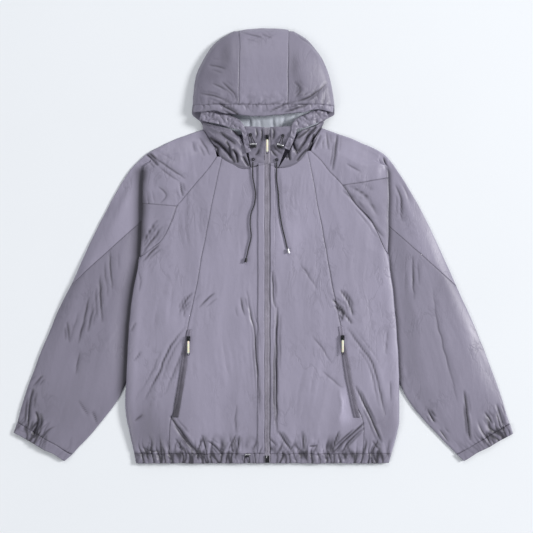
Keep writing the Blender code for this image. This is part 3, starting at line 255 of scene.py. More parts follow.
# ---------------- creases, mm
# Depth below the cloth around, half width of the trough, the side its ridge lies on (1 is left of the
# line's direction, -1 right, 0 both) and the line it follows. A negative depth is a bulge.
Crease = namedtuple("Crease", "depth width ridge line")
CREASES = (
    # shoulder_left
    (5.0, 3.5, 1, ((-252, 650), (-244, 644), (-227, 625))),
    (2.2, 7, 1, ((-237, 646), (-197, 616), (-168, 597))),
    (2.0, 4, 0, ((-181, 591), (-174, 560))),
    (1.8, 6, -1, ((-139, 686), (-128, 665), (-116, 646))),
    (1.6, 5, 1, ((-155, 677), (-147, 654))),
    (2.4, 4, 1, ((-258, 463), (-244, 486), (-227, 511))),
    (2.4, 4, 1, ((-258, 444), (-239, 469), (-216, 499))),
    (1.8, 5, 0, ((-252, 574), (-246, 543), (-252, 511))),
    (1.5, 6, 0, ((-227, 583), (-210, 562), (-223, 545))),
    # shoulder_right
    (2.6, 3.5, 1, ((151, 696), (145, 654), (139, 614))),
    (2.0, 4.5, -1, ((126, 696), (132, 658))),
    (2.0, 4, 1, ((116, 690), (101, 658))),
    (1.6, 6, 0, ((168, 631), (200, 612))),
    (2.2, 7, 0, ((176, 583), (212, 560), (237, 520))),
    (2.2, 4, 1, ((160, 574), (193, 541), (248, 474))),
    (3.0, 4, 0, ((248, 644), (254, 616))),
    # body_left
    (2.4, 6, -1, ((-168, 289), (-200, 245), (-223, 192), (-254, 133))),
    (1.4, 5, 1, ((-160, 270), (-185, 213), (-212, 144))),
    (1.6, 5, 0, ((-279, 213), (-262, 236))),
    (1.8, 5, 1, ((-284, 276), (-271, 297))),
    (1.8, 5, -1, ((-277, 89), (-258, 104))),
    (2.2, 5, 1, ((-258, 423), (-244, 440), (-223, 463))),
    (1.6, 6, -1, ((-269, 406), (-262, 385), (-267, 360))),
    (2.2, 3.5, 1, ((-153, 360), (-168, 343), (-181, 318))),
    (2.0, 3.5, -1, ((-160, 341), (-172, 324), (-172, 306))),
    (1.8, 7, -1, ((-143, 327), (-107, 360))),
    (2.0, 6, 1, ((-55, 350), (-44, 310))),
    (2.4, 3.5, -1, ((-40, 364), (-32, 314), (-25, 285), (-21, 228), (-15, 165), (-13, 100))),
    (1.4, 9, 0, ((-63, 125), (-63, 58))),
    # body_right
    (4.6, 3, -1, ((24, 330), (21.5, 259), (21, 154), (23, 60))),
    (2.0, 3.5, 1, ((14, 406), (16, 343), (24, 324))),
    (3.8, 3.5, 1, ((139, 345), (153, 331), (168, 310))),
    (3.8, 3.5, -1, ((155, 366), (174, 337), (183, 310))),
    (3.4, 3.0, 1, ((143, 331), (162, 316), (158, 297))),
    (3.0, 3.5, 0, ((166, 314), (181, 293))),
    (2.4, 5, 1, ((168, 287), (197, 249), (225, 205), (239, 154), (250, 100))),
    (3.4, 3.2, 1, ((187, 165), (212, 112), (244, 43))),
    (1.4, 9, 0, ((97, 270), (141, 211))),
    (1.6, 8, 0, ((118, 196), (162, 159))),
    (-2.4, 12, 0, ((154, 158), (157, 125), (154, 87))),
    (1.2, 8, 0, ((71, 423), (109, 364))),
    (1.5, 6, 0, ((256, 280), (252, 228))),
    (1.4, 6, 0, ((262, 175), (262, 129))),
    # hem
    (3.8, 4, 1, ((-202, 102), (-172, 60), (-141, 16))),
    (3.0, 3, -1, ((-193, 81), (-172, 54), (-149, 22))),
    (2.4, 3, 1, ((-191, 54), (-168, 20))),
    (2.4, 3, 0, ((-134, 62), (-124, 26))),
    (3.0, 3.5, 1, ((-124, 49), (-107, 35), (-90, 16))),
    (2.6, 3, -1, ((-63, 62), (-71, 43), (-80, 26))),
    (3.0, 3, 1, ((-57, 60), (-59, 37), (-63, 16))),
    (3.6, 4, 1, ((25, 70), (40, 47), (57, 20))),
    (2.4, 3, 0, ((8, 54), (25, 33))),
    (2.6, 3, 0, ((76, 70), (80, 26))),
    (2.6, 5, 0, ((90, 37), (107, 37))),
    (2.6, 3, 1, ((153, 70), (139, 22))),
    (4.0, 3.5, -1, ((206, 87), (162, 45), (139, 20))),
    (3.0, 3, 1, ((204, 75), (172, 43), (155, 16))),
    (2.4, 6, 0, ((-260, 35), (-239, 24), (-212, 24))),
    (2.0, 4, 0, ((223, 49), (242, 24))),
    # sleeve_left
    (2.4, 6, 0, ((-349, 396), (-346, 339), (-342, 295))),
    (2.2, 7, 1, ((-370, 350), (-384, 297), (-395, 249))),
    (2.2, 4, 0, ((-418, 299), (-412, 253))),
    (1.8, 5, 0, ((-363, 329), (-374, 274))),
    (1.6, 6, 1, ((-391, 234), (-399, 186))),
    (2.2, 5, 1, ((-468, 186), (-489, 163))),
    (4.6, 4, -1, ((-489, 159), (-496, 133), (-502, 72))),
    (5.0, 5, 1, ((-483, 110), (-479, 89), (-489, 51))),
    (1.6, 6, 0, ((-395, 133), (-374, 100))),
    (1.6, 5, 0, ((-365, 112), (-353, 79))),
    (2.0, 7, 0, ((-328, 448), (-323, 364))),
    # sleeve_right
    (1.4, 7, 1, ((349, 371), (359, 301), (376, 234), (391, 175), (403, 125))),
    (3.6, 3, 1, ((416, 154), (422, 102), (430, 47))),
    (3.2, 4, 1, ((340, 114), (355, 85))),
    (2.4, 5, 0, ((365, 70), (384, 43))),
    (2.4, 5, 0, ((460, 110), (477, 83))),
    (3.6, 4, -1, ((485, 125), (502, 66))),
    (3.0, 4, 0, ((462, 68), (470, 43))),
    (0.8, 6, 1, ((428, 291), (456, 257))),
    (0.8, 7, 1, ((412, 343), (441, 297))),
    (2.4, 6, -1, ((273, 587), (284, 549), (286, 507))),
    (2.0, 7, 0, ((307, 438), (311, 343))),
    # hood
    (4.0, 4.5, 1, ((-101, 756), (-76, 742), (-52, 726))),
    (1.8, 5, 1, ((-55, 908), (-34, 900), (-8, 894))),
    (1.5, 5, 0, ((-10, 904), (13, 891))),
    (3.0, 3.5, 1, ((113, 784), (84, 765), (65, 759))),
    (2.6, 3.5, -1, ((92, 756), (71, 746), (36, 734))),
    (2.0, 4.5, 1, ((67, 759), (32, 749), (4, 734))),
    (1.8, 6, 0, ((-120, 837), (-84, 826))),
    (1.4, 4, 0, ((65, 900), (111, 864), (128, 826))),
    (2.0, 3.5, -1, ((-92, 800), (-66, 774), (-60, 757))),
    (1.8, 3.5, 1, ((-140, 778), (-104, 768), (-78, 760))),
    (2.2, 3.5, 1, ((58, 800), (72, 782), (62, 765))),
    (1.8, 3.5, 0, ((128, 800), (110, 778), (104, 762))),
    (1.6, 5, 0, ((-113, 797), (-80, 780))),
)
# Deep folds of the hood's lower front, between its outer edge and the neck seam.
NECK_FOLDS = (
    (7.0, 4.5, -1, ((-131, 700), (-122, 684), (-113, 669), (-101, 660), (-100, 647))),
    (8.0, 5.0, 1, ((-118, 686), (-95, 669), (-76, 648), (-65, 630))),
    (3.5, 5.0, 1, ((-98, 696), (-63, 669))),
    (6.0, 3.5, 1, ((-70, 660), (-61, 646), (-60, 630))),
    (5.0, 3.5, -1, ((-49, 645), (-36, 624))),
    (6.0, 5.0, 0, ((-70, 702), (-56, 686))),
    (7.0, 4.0, 1, ((121, 712), (97, 678), (85, 654), (76, 634))),
    (8.0, 6.0, -1, ((105, 708), (88, 686), (67, 654))),
    (4.0, 4.0, 1, ((93, 703), (64, 680))),
    (7.0, 5.5, 0, ((56, 675), (66, 650))),
    (6.0, 4.0, 0, ((36, 655), (44, 640))),
    (7.0, 3.5, -1, ((101, 692), (96, 668), (84, 645))),
    (6.0, 3.0, 1, ((52, 668), (48, 652), (50, 636))),
    (5.0, 3.0, -1, ((86, 660), (72, 645), (64, 634))),
    (5.0, 3.0, 1, ((-84, 676), (-76, 660), (-74, 640))),
)
# Creases of the collar beside the zip.
COLLAR_FOLDS = (
    (2.6, 3.0, 1, ((-8, 704), (-7.5, 690), (-9, 674))),
    (2.2, 3.0, 0, ((-20, 704), (-18, 690), (-22, 680))),
    (2.6, 4.0, -1, ((13, 704), (17, 692), (14, 678))),
    (2.4, 3.0, 0, ((10, 660), (16, 651), (24, 643))),
    (2.2, 3.0, 1, ((14, 670), (24, 657), (34, 650))),
    (2.0, 3.0, 0, ((-12, 660), (-18, 650), (-24, 646))),
)
# Folds of the lining that the face opening shows.
LINING_FOLDS = (
    (2.6, 4.0, 1, ((-38, 757), (-34, 722), (-36, 695))),
    (1.8, 3.5, -1, ((-14, 757), (-10, 700))),
    (2.2, 4.0, 1, ((18, 757), (14, 724), (17, 696))),
    (2.8, 4.5, -1, ((43, 757), (38, 722), (41, 697))),
    (2.4, 4.0, 0, ((64, 757), (60, 710))),
    (3.0, 5.0, 0, ((-74, 757), (-80, 712))),
)

# Seams: how far the cloth dips at the stitches and over what half width, height, pitch and reach of
# the puckers beside it, and how dark the seam's own line is: the doubled cloth, and painted shade in its dip.
Seam = namedtuple("Seam", "dip width pucker pitch reach shade")
SEAMS = {
    "princess": (0.6, 2.0, 0.35, 13.0, 9.0, 1.0),
    "raglan": (0.6, 2.0, 0.45, 12.0, 10.0, 1.0),
    "cross": (0.5, 2.0, 0.35, 14.0, 9.0, 1.0),
    "hood": (0.5, 2.0, 0.40, 12.0, 9.0, 0.7),
    "brim": (0.3, 2.2, 0.50, 9.0, 14.0, 0.15),
    "hem": (0.3, 2.0, 0.90, 9.0, 16.0, 0.3),
    "cuff": (0.3, 2.0, 0.90, 8.0, 16.0, 0.35),
    "neck": (0.8, 2.5, 0.50, 11.0, 9.0, 1.0),
}

# Fields of a piece's cut: flat size between its seams, in metres, with its flat area in square metres, how it
# is held and the nodes that it lies on.
Cut = namedtuple("Cut", "width length area held rests_on")


# ---------------- curves and heights
def smooth(knots, values, at):
    """Smooth curve through the knots that never overshoots them, level beyond its ends."""
    knots = np.asarray(knots, float)
    values = np.asarray(values, float)
    over = (1,) * (values.ndim - 1)
    step = np.diff(knots)
    slope = np.diff(values, axis=0) / step.reshape(-1, *over)
    tangent = np.zeros_like(values)
    before, after = slope[:-1], slope[1:]
    turning = before * after > 0
    tangent[1:-1][turning] = 2.0 / (1.0 / before[turning] + 1.0 / after[turning])
    tangent[0], tangent[-1] = slope[0], slope[-1]
    at = np.clip(at, knots[0], knots[-1])
    i = np.clip(np.searchsorted(knots, at, side="right") - 1, 0, len(step) - 1)
    t = np.reshape((at - knots[i]) / step[i], np.shape(at) + over)
    width = np.reshape(step[i], np.shape(at) + over)
    start = (1 + 2 * t) * (1 - t) ** 2 * values[i] + t * (1 - t) ** 2 * width * tangent[i]
    end = t * t * (3 - 2 * t) * values[i + 1] + t * t * (t - 1) * width * tangent[i + 1]
    return start + end


def column(rows, name):
    return [getattr(row, name) for row in rows]


def ramp(t):
    """0 to 1 with soft ends."""
    t = np.clip(t, 0.0, 1.0)
    return t * t * (3 - 2 * t)


def dome(t):
    """0 to 1 like a quarter circle, steep at the start."""
    t = np.clip(t, 0.0, 1.0)
    return (1 - (1 - t) ** 2) ** 0.5


def mix(a, b, t):
    return a + (b - a) * t


def ring_value(rows, name, station):
    return smooth(range(len(rows)), column(rows, name), station)


def ring_point(rows, name, station):
    """X and Y of one of the places that a ring goes through."""
    return np.array([ring_value(rows, f"{name}_{axis}", station) for axis in "xy"])


def curve(rows, along, name, at):
    """Smooth curve of one field of a table's rows over another."""
    return smooth(column(rows, along), column(rows, name), at)


def body_side(side, y):
    """Distance of the body's side edge from the zip."""
    return curve(BODY[side], "y", "side", y)


def princess(side, y):
    """Distance of the princess seam from the zip."""
    ys = column(BODY[side], "y") + column(PRINCESS_TOP[side], "y")
    xs = column(BODY[side], "princess") + column(PRINCESS_TOP[side], "x")
    return smooth(ys, xs, y)


def covering_edge(side, y):
    """Edge of the body, or above it of the shoulder fold, that covers the sleeve."""
    folds = SHOULDER[side][:2:-1]
    above = smooth(column(folds, "fold_y") + [650], column(folds, "fold_x") + [251], y)
    return np.where(np.asarray(y) < folds[0].fold_y, body_side(side, y), above)


def hidden_sleeve_edge(side, y):
    """Underarm edge of the sleeve beneath the body."""
    return curve(ARM[side][13:7:-1], "inner_y", "inner_x", y)


def shoulder_line(side, x):
    """Y of the garment's upper outline at a distance from the zip."""
    return curve(ARM[side][:4], "outer_x", "outer_y", x)


def front_height(x, y):
    """Middle of the front cloth of body and shoulder."""
    side = -1 if x < 0 else 1
    across = abs(x)
    inward = covering_edge(side, y) - across
    height = mix(BODY_EDGE, BODY_LOFT, ramp(inward / SIDE_SOFT))
    height = mix(SHOULDER_EDGE, height, ramp((shoulder_line(side, across) - y) / 55.0))
    return mix(HEM_FRONT, height, ramp((y - CASING_DEPTH) / 60.0))


def back_height(x, y):
    """Middle of the back cloth: on the surface, and raised where a sleeve lies beneath it."""
    side = -1 if x < 0 else 1
    armpit_y = ARM[side][ARMPIT].inner_y
    outward = abs(x) - hidden_sleeve_edge(side, min(y, armpit_y))
    over_sleeve = ramp((outward + 26.0) / 21.0)
    below_armpit = 1.0 - ramp((y - armpit_y - 2.0) / 40.0)
    return FLOOR + (TUCK - FLOOR) * over_sleeve * below_armpit


def hood_height(x, y):
    """Middle of the hood's upper layer."""
    edge = curve(HOOD[-1 if x < 0 else 1], "edge_y", "edge_x", y)
    sideways = dome((edge - abs(x)) / HOOD_SOFT)
    upwards = dome((CROWN_Y - y) / HOOD_SOFT)
    rim = hood_rim(y)
    return rim + (HOOD_LOFT - rim) * sideways * upwards


def hood_rim(y):
    """Middle of the hood's turned outer edge, highest at the brim's corners."""
    return HOOD_EDGE + 6.0 * (1.0 - ramp((y - 750.0) / 60.0))


def neck_seam_y(x):
    return curve(NECK_SEAM[-1 if x < 0 else 1], "x", "y", abs(x))


def back_neck_y(x):
    rows = BACK_NECK[-1 if x < 0 else 1]
    return float(np.interp(abs(x), column(rows, "x"), column(rows, "y")))


def collar_height(x, y):
    """Middle of the collar, which laps over the neck seam and rises to its free top edge."""
    rise = ramp((y - neck_seam_y(x)) / (ZIP_TOP - neck_seam_y(x)))
    return front_height(x, min(y, 640.0)) + STACK + COLLAR_RISE * rise


# ---------------- relief of the loose cloth
def noise(x, y, seed):
    """Soft rolling field from about -1 to 1 with one swell to each unit, the same at every run."""
    left, low = np.floor(x), np.floor(y)
    across, up = x - left, y - low

    def corner(i, j):
        turn = np.sin((left + i) * 127.1 + (low + j) * 311.7 + seed * 74.7) * 43758.5453
        turn = (turn - np.floor(turn)) * 2 * pi
        return np.cos(turn) * (across - i) + np.sin(turn) * (up - j)

    u = across ** 3 * (across * (across * 6 - 15) + 10)
    v = up ** 3 * (up * (up * 6 - 15) + 10)
    return 1.6 * mix(mix(corner(0, 0), corner(1, 0), u), mix(corner(0, 1), corner(1, 1), u), v)


def puckers(x, y, seed):
    """Ripples with sharp valleys and round tops, from about -0.6 to 1.2."""
    return 2.2 * np.abs(noise(x, y, seed)) - 0.6


def rolling(x, y, seed):
    """Folds that run along Y: broad swells, sharp-ridged ones and a fine crumple."""
    x = x + 14 * noise(x / 110, y / 160, seed + 1)
    broad = 2.2 * noise(x / 75, y / 260, seed + 2)
    ridged = 1.9 * (0.35 - np.abs(noise(x / 52, y / 240, seed + 3)))
    streaks = 0.5 * puckers(x / 17, y / 120, seed + 5) + 0.35 * noise(x / 9, y / 70, seed + 6)
    crumple = 0.45 * np.abs(noise(x / 12, y / 22, seed + 7))
    patches = 0.15 + 0.85 * ramp(noise(x / 60, y / 90, seed + 8) + 0.3)
    return broad + ridged + patches * (streaks + crumple)


ARM_SLANT = (0.924, 0.383)       # across the sleeve, and how far that turns with height


def loose_folds(x, y):
    """Rolling folds of body, sleeves and hood, which run with each one's length."""
    across = np.abs(x)
    body = rolling(x, y, 3)
    u = across * ARM_SLANT[0] + y * ARM_SLANT[1]
    v = y * ARM_SLANT[0] - across * ARM_SLANT[1]
    arm = rolling(u + 500 * (x > 0), v, 21) * np.where(x > 0, 0.5, 0.9)
    crushed = 0.5 * puckers(x / 15, y / 15, 47) * np.exp(-np.abs(y - 770) / 22)
    hood = 0.6 * rolling(x * 0.8, y * 1.3, 44) + crushed
    folds = mix(body, arm, ramp((across - 235) / 50))
    folds = mix(folds, hood, ramp((y - 735) / 40))
    at_neck = ramp((y - 585) / 45) * ramp((150 - across) / 30) * (1 - ramp((y - 750) / 20))
    return folds * (1 - 0.85 * at_neck)


def nearest(x, y, line):
    """Signed distance of points from a line, how far along it they lie, 0 to 1, and its length."""
    starts, ends = line[:-1], line[1:]
    lengths = np.hypot(*(ends - starts).T)
    before = np.concatenate(([0.0], np.cumsum(lengths)))
    best = np.full(x.shape, 1e9)
    signed, along = np.zeros(x.shape), np.zeros(x.shape)
    for (x0, y0), (x1, y1), length, passed in zip(starts, ends, lengths, before):
        dx, dy = (x1 - x0) / length, (y1 - y0) / length
        reach = np.clip((x - x0) * dx + (y - y0) * dy, 0.0, length)
        away = np.hypot(x - x0 - dx * reach, y - y0 - dy * reach)
        closer = away < best
        best = np.where(closer, away, best)
        signed = np.where(closer, np.copysign(away, dx * (y - y0) - dy * (x - x0)), signed)
        along = np.where(closer, passed + reach, along)
    return signed, along / before[-1], before[-1]


def near_line(x, y, line, reach):
    """Which points lie in the line's box widened by reach."""
    low, high = line.min(0) - reach, line.max(0) + reach
    return (x > low[0]) & (x < high[0]) & (y > low[1]) & (y < high[1])


CREASE_DEPTH = 1.25              # share of each crease's depth in the tables
# A fold seldom comes alone: finer creases run beside it. Distance in widths of the main one, share of
# its depth, and the stretch of its length that each keeps to.
Echo = namedtuple("Echo", "aside share start end")
ECHOES = (((0.0, 1.0, 0.0, 1.0),),
          ((0.0, 1.0, 0.0, 1.0), (1.7, 0.5, 0.1, 0.7), (-2.3, 0.35, 0.35, 0.95)),
          ((0.0, 1.0, 0.0, 1.0), (-1.6, 0.55, 0.25, 0.9), (2.6, 0.3, 0.05, 0.5)))


def level(values, value):
    """One value for each of the given ones."""
    return np.full(np.shape(values), value)


def bell(distance, width):
    """1 at no distance, falling off softly over the width."""
    return np.exp(-(distance / width) ** 2)


def crease_relief(x, y, creases, alone=False):
    """Relief of the creases with their ridges, and the painted shade along their troughs where the cloth
    bends sharply, 0 to 1.
    """
    total, crease_shade = np.zeros(x.shape), np.zeros(x.shape)
    for number, crease in enumerate(named(Crease, creases)):
        knots = np.array(crease.line, float)
        line = smooth(range(len(knots)), knots, np.linspace(0, len(knots) - 1, 5 * len(knots)))
        at = near_line(x, y, line, 6 * crease.width)
        if not at.any():
            continue
        centre, along, length = nearest(x[at], y[at], line)
        bends = noise(along * length / 22.0, level(along, number + 0.5), 6)
        centre = centre + 0.25 * crease.width * bends
        several = not alone and crease.depth >= 1.7 and length >= 30
        for echo in named(Echo, ECHOES[1 + number % 2 if several else 0]):
            away = centre - echo.aside * crease.width * (1 + 0.25 * (along - 0.5))
            width = crease.width * echo.share ** 0.5
            uneven = 1 + 0.3 * noise(along * length / 35.0, level(along, number * 1.7 + echo.aside), 5)
            part = np.clip((along - echo.start) / (echo.end - echo.start), 0.0, 1.0)
            depth = CREASE_DEPTH * crease.depth * echo.share * np.sin(pi * part) ** 0.55 * uneven
            soft = min(0.4, 1.6 / width)
            sharp = np.exp(-np.abs(away) / min(0.3 * width + 0.7, 2.4))
            trough = soft * bell(away, width) + (1 - soft) * sharp
            ridges = 0.0
            for side in (-1, 1):
                height = {0: 0.5, side: 0.9}.get(crease.ridge, 0.15) * soft
                ridges = ridges + height * bell(side * away - 1.5 * width, width)
            total[at] -= depth * (trough - ridges) * np.exp(-(away / (4 * width)) ** 4)
            # Painted shade along the crease's trough, darker for a deeper crease.
            bent = np.clip(depth / 3.0, 0.0, 1.0) * bell(away, 1.7 + 0.16 * crease.depth)
            crease_shade[at] = np.maximum(crease_shade[at], bent)
    return total, crease_shade


def seam_lines():
    """The sewn lines of the upper side, each as (kind, points)."""
    lines = []
    for side in (-1, 1):
        def line(kind, xs, ys):
            lines.append((kind, np.stack([side * np.asarray(xs, float), np.asarray(ys, float)], axis=1)))

        top = PRINCESS_TOP[side][-1].y
        ys = np.linspace(CASING_DEPTH, top, 40)
        line("princess", princess(side, ys), ys)
        stations = np.linspace(0, ARMPIT, 25)
        line("raglan", ring_value(SHOULDER[side], "raglan_x", stations),
             ring_value(SHOULDER[side], "raglan_y", stations))
        seam, arm = SHOULDER[side][CROSS_SEAM], ARM[side][CROSS_SEAM]
        line("cross", (seam.raglan_x, seam.fold_x), (seam.raglan_y, seam.fold_y))
        out = (seam.fold_x + 2.0 - arm.inner_x) / (arm.outer_x - arm.inner_x)
        line("cross", (mix(arm.inner_x, arm.outer_x, out), arm.outer_x),
             (mix(arm.inner_y, arm.outer_y, out), arm.outer_y))
        cuff_row = ARM[side][CUFF_SEAM]
        line("cuff", (cuff_row.inner_x, cuff_row.outer_x), (cuff_row.inner_y, cuff_row.outer_y))
        ys = np.linspace(BRIM_SEAM_Y, 905, 20)
        line("hood", curve(HOOD[side], "seam_y", "seam_x", ys), ys)
        xs = np.linspace(0, NECK_SEAM[side][-1].x, 15)
        line("neck", xs, curve(NECK_SEAM[side], "x", "y", xs))
    hem = np.array([(side * body_side(side, CASING_DEPTH), CASING_DEPTH) for side in (-1, 1)])
    brim = np.array([(side * HOOD[side][0].edge_x, BRIM_SEAM_Y) for side in (-1, 1)])
    return lines + [("hem", hem), ("brim", brim)]


def seam_relief(x, y):
    """Dip and puckers along the seams, and how close each point lies to one, 0 to 1."""
    total, closeness = np.zeros(x.shape), np.zeros(x.shape)
    for number, (kind, line) in enumerate(seam_lines()):
        seam = Seam(*SEAMS[kind])
        at = near_line(x, y, line, 3 * seam.reach)
        if not at.any():
            continue
        away, along, length = nearest(x[at], y[at], line)
        run = along * length / seam.pitch
        pucker = noise(run, away / 30.0 + number, 8) + 0.5 * noise(run * 2.1, away / 20.0 + number, 9)
        total[at] += seam.pucker * pucker * np.exp(-np.abs(away) / seam.reach)
        total[at] -= seam.dip * bell(away, seam.width)
        closeness[at] = np.maximum(closeness[at], seam.shade * bell(away, 1.8))
    return total, closeness


HARD_SPOTS = [(*place, 5.0) for side in (-1, 1)
              for place in (EYELET_UPPER[side], EYELET_LOWER[side], CORD_LOCK[side][:2])]
HARD_SPOTS += [(*POCKET_PULL[side], 7.0) for side in (-1, 1)]
HARD_SPOTS += [(*FRONT_PULL, 7.0), (*HEM_EYELET, 6.0), (2.6, 9.0, 10.0)]


def clear_of_hardware(x, y):
    """0 where a hard piece sits on the cloth, 1 away from them."""
    clear = np.ones(x.shape)
    for spot_x, spot_y, radius in HARD_SPOTS:
        clear = clear * ramp((np.hypot(x - spot_x, y - spot_y) - radius) / 16.0)
    return clear


def drawn_up(run, above, seed):
    """Ripples that an elastic draws up, close at its seam and wider further off, and the painted shade in
    their creases.
    """
    run = run + 7.0 * noise(run / 34, above / 34, seed + 3)
    uneven = 0.9 + 0.9 * noise(run / 42, level(run, 0.5), seed + 4)
    near = np.exp(-np.maximum(above, 0) / 15)
    far = bell(above - 14, 18)
    narrow, broad = noise(run / 12, above / 75, seed), noise(run / 25, above / 90, seed + 1)
    close = 2.6 * near * mix(0.55, 1.0, ramp((above + 8) / 10)) * (2.2 * np.abs(narrow) - 0.6)
    wide = 2.8 * far * (2.2 * np.abs(broad) - 0.6)
    fine = 1.2 * near ** 1.5 * puckers(run / 7, above / 11, seed + 2)
    # Painted shade in the creases of the ripples.
    bent = np.maximum(1.5 * near * bell(narrow, 0.19), 1.2 * far * bell(broad, 0.11))
    return uneven * (close + wide) + fine, np.clip(bent * uneven, 0.0, 1.0)


def gathers(x, y):
    """Ripples that the elastic draws up at the hem, the cuffs and the hood's brim, and the painted shade in
    their creases.
    """
    sideways = np.abs(x)
    at_hem = ramp((305 - sideways) / 10) * (y < 130)
    total, bent = (at_hem * field for field in drawn_up(x, y - CASING_DEPTH, 61))
    for side in (-1, 1):
        end = ARM[side][CUFF_SEAM]
        line = np.array([(end.inner_x, end.inner_y), (end.outer_x, end.outer_y)], float)
        at = (np.sign(x) == side) & near_line(sideways, y, line, 90)
        if at.any():
            away, along, length = nearest(sideways[at], y[at], line)
            rise, creased = drawn_up(along * length, away, 71 + 5 * side)
            # The elastic draws up the outer part of each cuff most.
            share = mix(0.25, 1.0, ramp((along - 0.3) / 0.35))
            total[at] += 0.9 * share * rise
            bent[at] = np.maximum(bent[at], share * creased)
    brim = np.exp(-np.abs(y - 750) / 14) * ramp((150 - sideways) / 20)
    seam = noise(x / 12 + 0.3 * noise(x / 20, y / 12, 84), y / 26, 81)
    ripples = 3.4 * np.abs(seam) + 1.2 * puckers(x / 20, y / 40, 82) + 0.9 * puckers(x / 7, y / 8, 83)
    return total + brim * ripples, np.maximum(bent, 0.7 * brim * bell(seam, 0.12))


def below_cords(x, y, height):
    """The cloth never rises into a drawcord that lies on it."""
    free = np.ones(x.shape)
    for side in (-1, 1):
        line = np.array(CORD_ROUTE[side], float)
        at = near_line(x, y, line, 16)
        if at.any():
            away, _, _ = nearest(x[at], y[at], line)
            free[at] = np.minimum(free[at], ramp((np.abs(away) - 2.0) / 8.0))
    return np.minimum(height, height * free)


# The rolled edge of body and shoulder stands higher than the sleeve beside it.
FOLD_ROLL = {-1: 2.6, 1: 1.2}
ROLL_IN, ROLL_WIDTH = 12.0, 9.0


def rolled_edges(x, y):
    """Rise of the cloth just inside the folds that lie over the sleeves."""
    total = np.zeros(x.shape)
    for side in (-1, 1):
        inward = covering_edge(side, y) - side * x
        along = ramp((y - 50) / 60) * ramp((560 - y) / 140)
        total += FOLD_ROLL[side] * along * bell(inward - ROLL_IN, ROLL_WIDTH) * (side * x > 0)
    return total


def relief(x, y):
    """How far the cloth rises above its laid-out form, in mm, how near a seam lies, and the painted shade
    where it bends sharply.
    """
    sizes = bpy.context.scene.jacket_sizes
    sewn, closeness = seam_relief(x, y)
    creased, crease_shade = crease_relief(x, y, CREASES)
    gathered, bent = gathers(x, y)
    soft = sizes.fold_depth * loose_folds(x, y) + creased + gathered + rolled_edges(x, y)
    clear = clear_of_hardware(x, y)
    return below_cords(x, y, (soft + sewn) * clear), closeness, np.maximum(crease_shade, 0.9 * bent) * clear


# Reach in mm and strength of the painted shadow on a sleeve beside the fold that lies over it, then those of
# the painted shade on the fold's own turned edge at the shoulder.
FOLD_SHADE = {-1: ((16.0, 1.0), (11.0, 0.95)), 1: ((8.0, 0.85), (4.0, 0.6))}


def painted_fold_shadow(x, y):
    """Painted shadow on a sleeve beside the body's or the shoulder's turned edge, and painted shade on that
    edge, 0 to 1.
    """
    total = np.zeros(x.shape)
    for side, (beside, upon) in FOLD_SHADE.items():
        clear = side * x - covering_edge(side, y)
        along = ramp((y - 100) / 60) * ramp((635 - y) / 25)
        outer = beside[1] * bell(np.maximum(clear, 0.0), beside[0]) * (clear > 0)
        uneven = 0.75 + 0.5 * noise(y / 38, level(y, 0.5), 57)
        inner = upon[1] * uneven * bell(np.minimum(clear, 0.0), upon[0]) * (clear <= 0)
        inner = inner * ramp((y - 450) / 40)
        total = np.maximum(total, along * (outer + inner) * (side * x > 0))
    return total


# ---------------- cloth shells
def stations(steps, spacing, loose):
    """Fine places along one direction of a grid, with the number of fine cells in each coarse one."""
    still = (loose[:-1] == 0) & (loose[1:] == 0)
    counts = np.ceil(steps / np.where(still, 2.5 * spacing, spacing)).astype(int)
    counts = np.maximum(counts, np.where(steps < 2.5 * BEND, 3, 2))
    knots = np.concatenate(([0.0], np.cumsum(steps)))
    places = [np.linspace(a, b, n, endpoint=False) for a, b, n in zip(knots[:-1], knots[1:], counts)]
    return knots, np.concatenate(places + [knots[-1:]]), counts


def refine(grid, spacing):
    """The grid again at a finer step, on smooth curves through its points."""
    row_steps = np.linalg.norm(np.diff(grid[..., :3], axis=0), axis=2).mean(axis=1)
    column_steps = np.linalg.norm(np.diff(grid[..., :3], axis=1), axis=2).mean(axis=0)
    loose = grid[..., 3]
    row_knots, row_places, row_counts = stations(row_steps, spacing, loose.max(axis=1))
    knots, places, counts = stations(column_steps, spacing, loose.max(axis=0))
    fine = smooth(row_knots, grid, row_places)
    fine = np.swapaxes(smooth(knots, np.swapaxes(fine, 0, 1), places), 0, 1)
    row_of = np.repeat(np.arange(len(row_counts)), row_counts)
    column_of = np.repeat(np.arange(len(counts)), counts)
    return fine, row_of, column_of


def smoothed(field, axis):
    """A grid's values, each the mean of itself and its two neighbours along one direction."""
    ends = [(0, 0), (0, 0)]
    ends[axis] = (1, 1)
    wide = np.pad(field, ends, mode="edge")
    before, same, after = (np.take(wide, np.arange(k, k + field.shape[axis]), axis) for k in range(3))
    return (before + same + after) / 3


def hollowness(height):
    """How far each point of a relief lies below those around it, 0 to 1."""
    around = height
    for axis in (0, 1, 0, 1):
        around = smoothed(around, axis)
    return np.clip((around - height) / HOLLOW_FULL, 0.0, 1.0)


# Painted light and shade of each piece, standing in for how the light falls on it, for the shade of crowded
# creases and for the sheen of calendered cloth that turns with its threads: share of its colour that it
# shows.
PIECE_PAINTED_LIGHT = {"sleeve_lower_left": 0.78, "cuff_left": 0.80, "sleeve_lower_right": 0.94, "cuff_right": 0.84,
         "hem_front_left": 0.80, "hem_front_right": 0.82, "front_side_left": 1.06, "front_side_right": 1.13,
         "front_centre_left": 1.06, "front_centre_right": 1.12, "placket_left": 1.04, "placket_right": 1.10,
         "sleeve_shoulder_left": 1.06, "sleeve_shoulder_right": 1.05, "hood_side_left": 0.81,
         "hood_side_right": 0.81, "hood_centre": 0.94, "hood_neck_left": 0.72, "hood_neck_right": 0.76,
         "hood_casing_left": 0.84, "hood_casing_right": 0.84, "collar_left": 0.76, "collar_right": 0.76,
         "hood_brim": 0.92, "front_zip": 1.22}
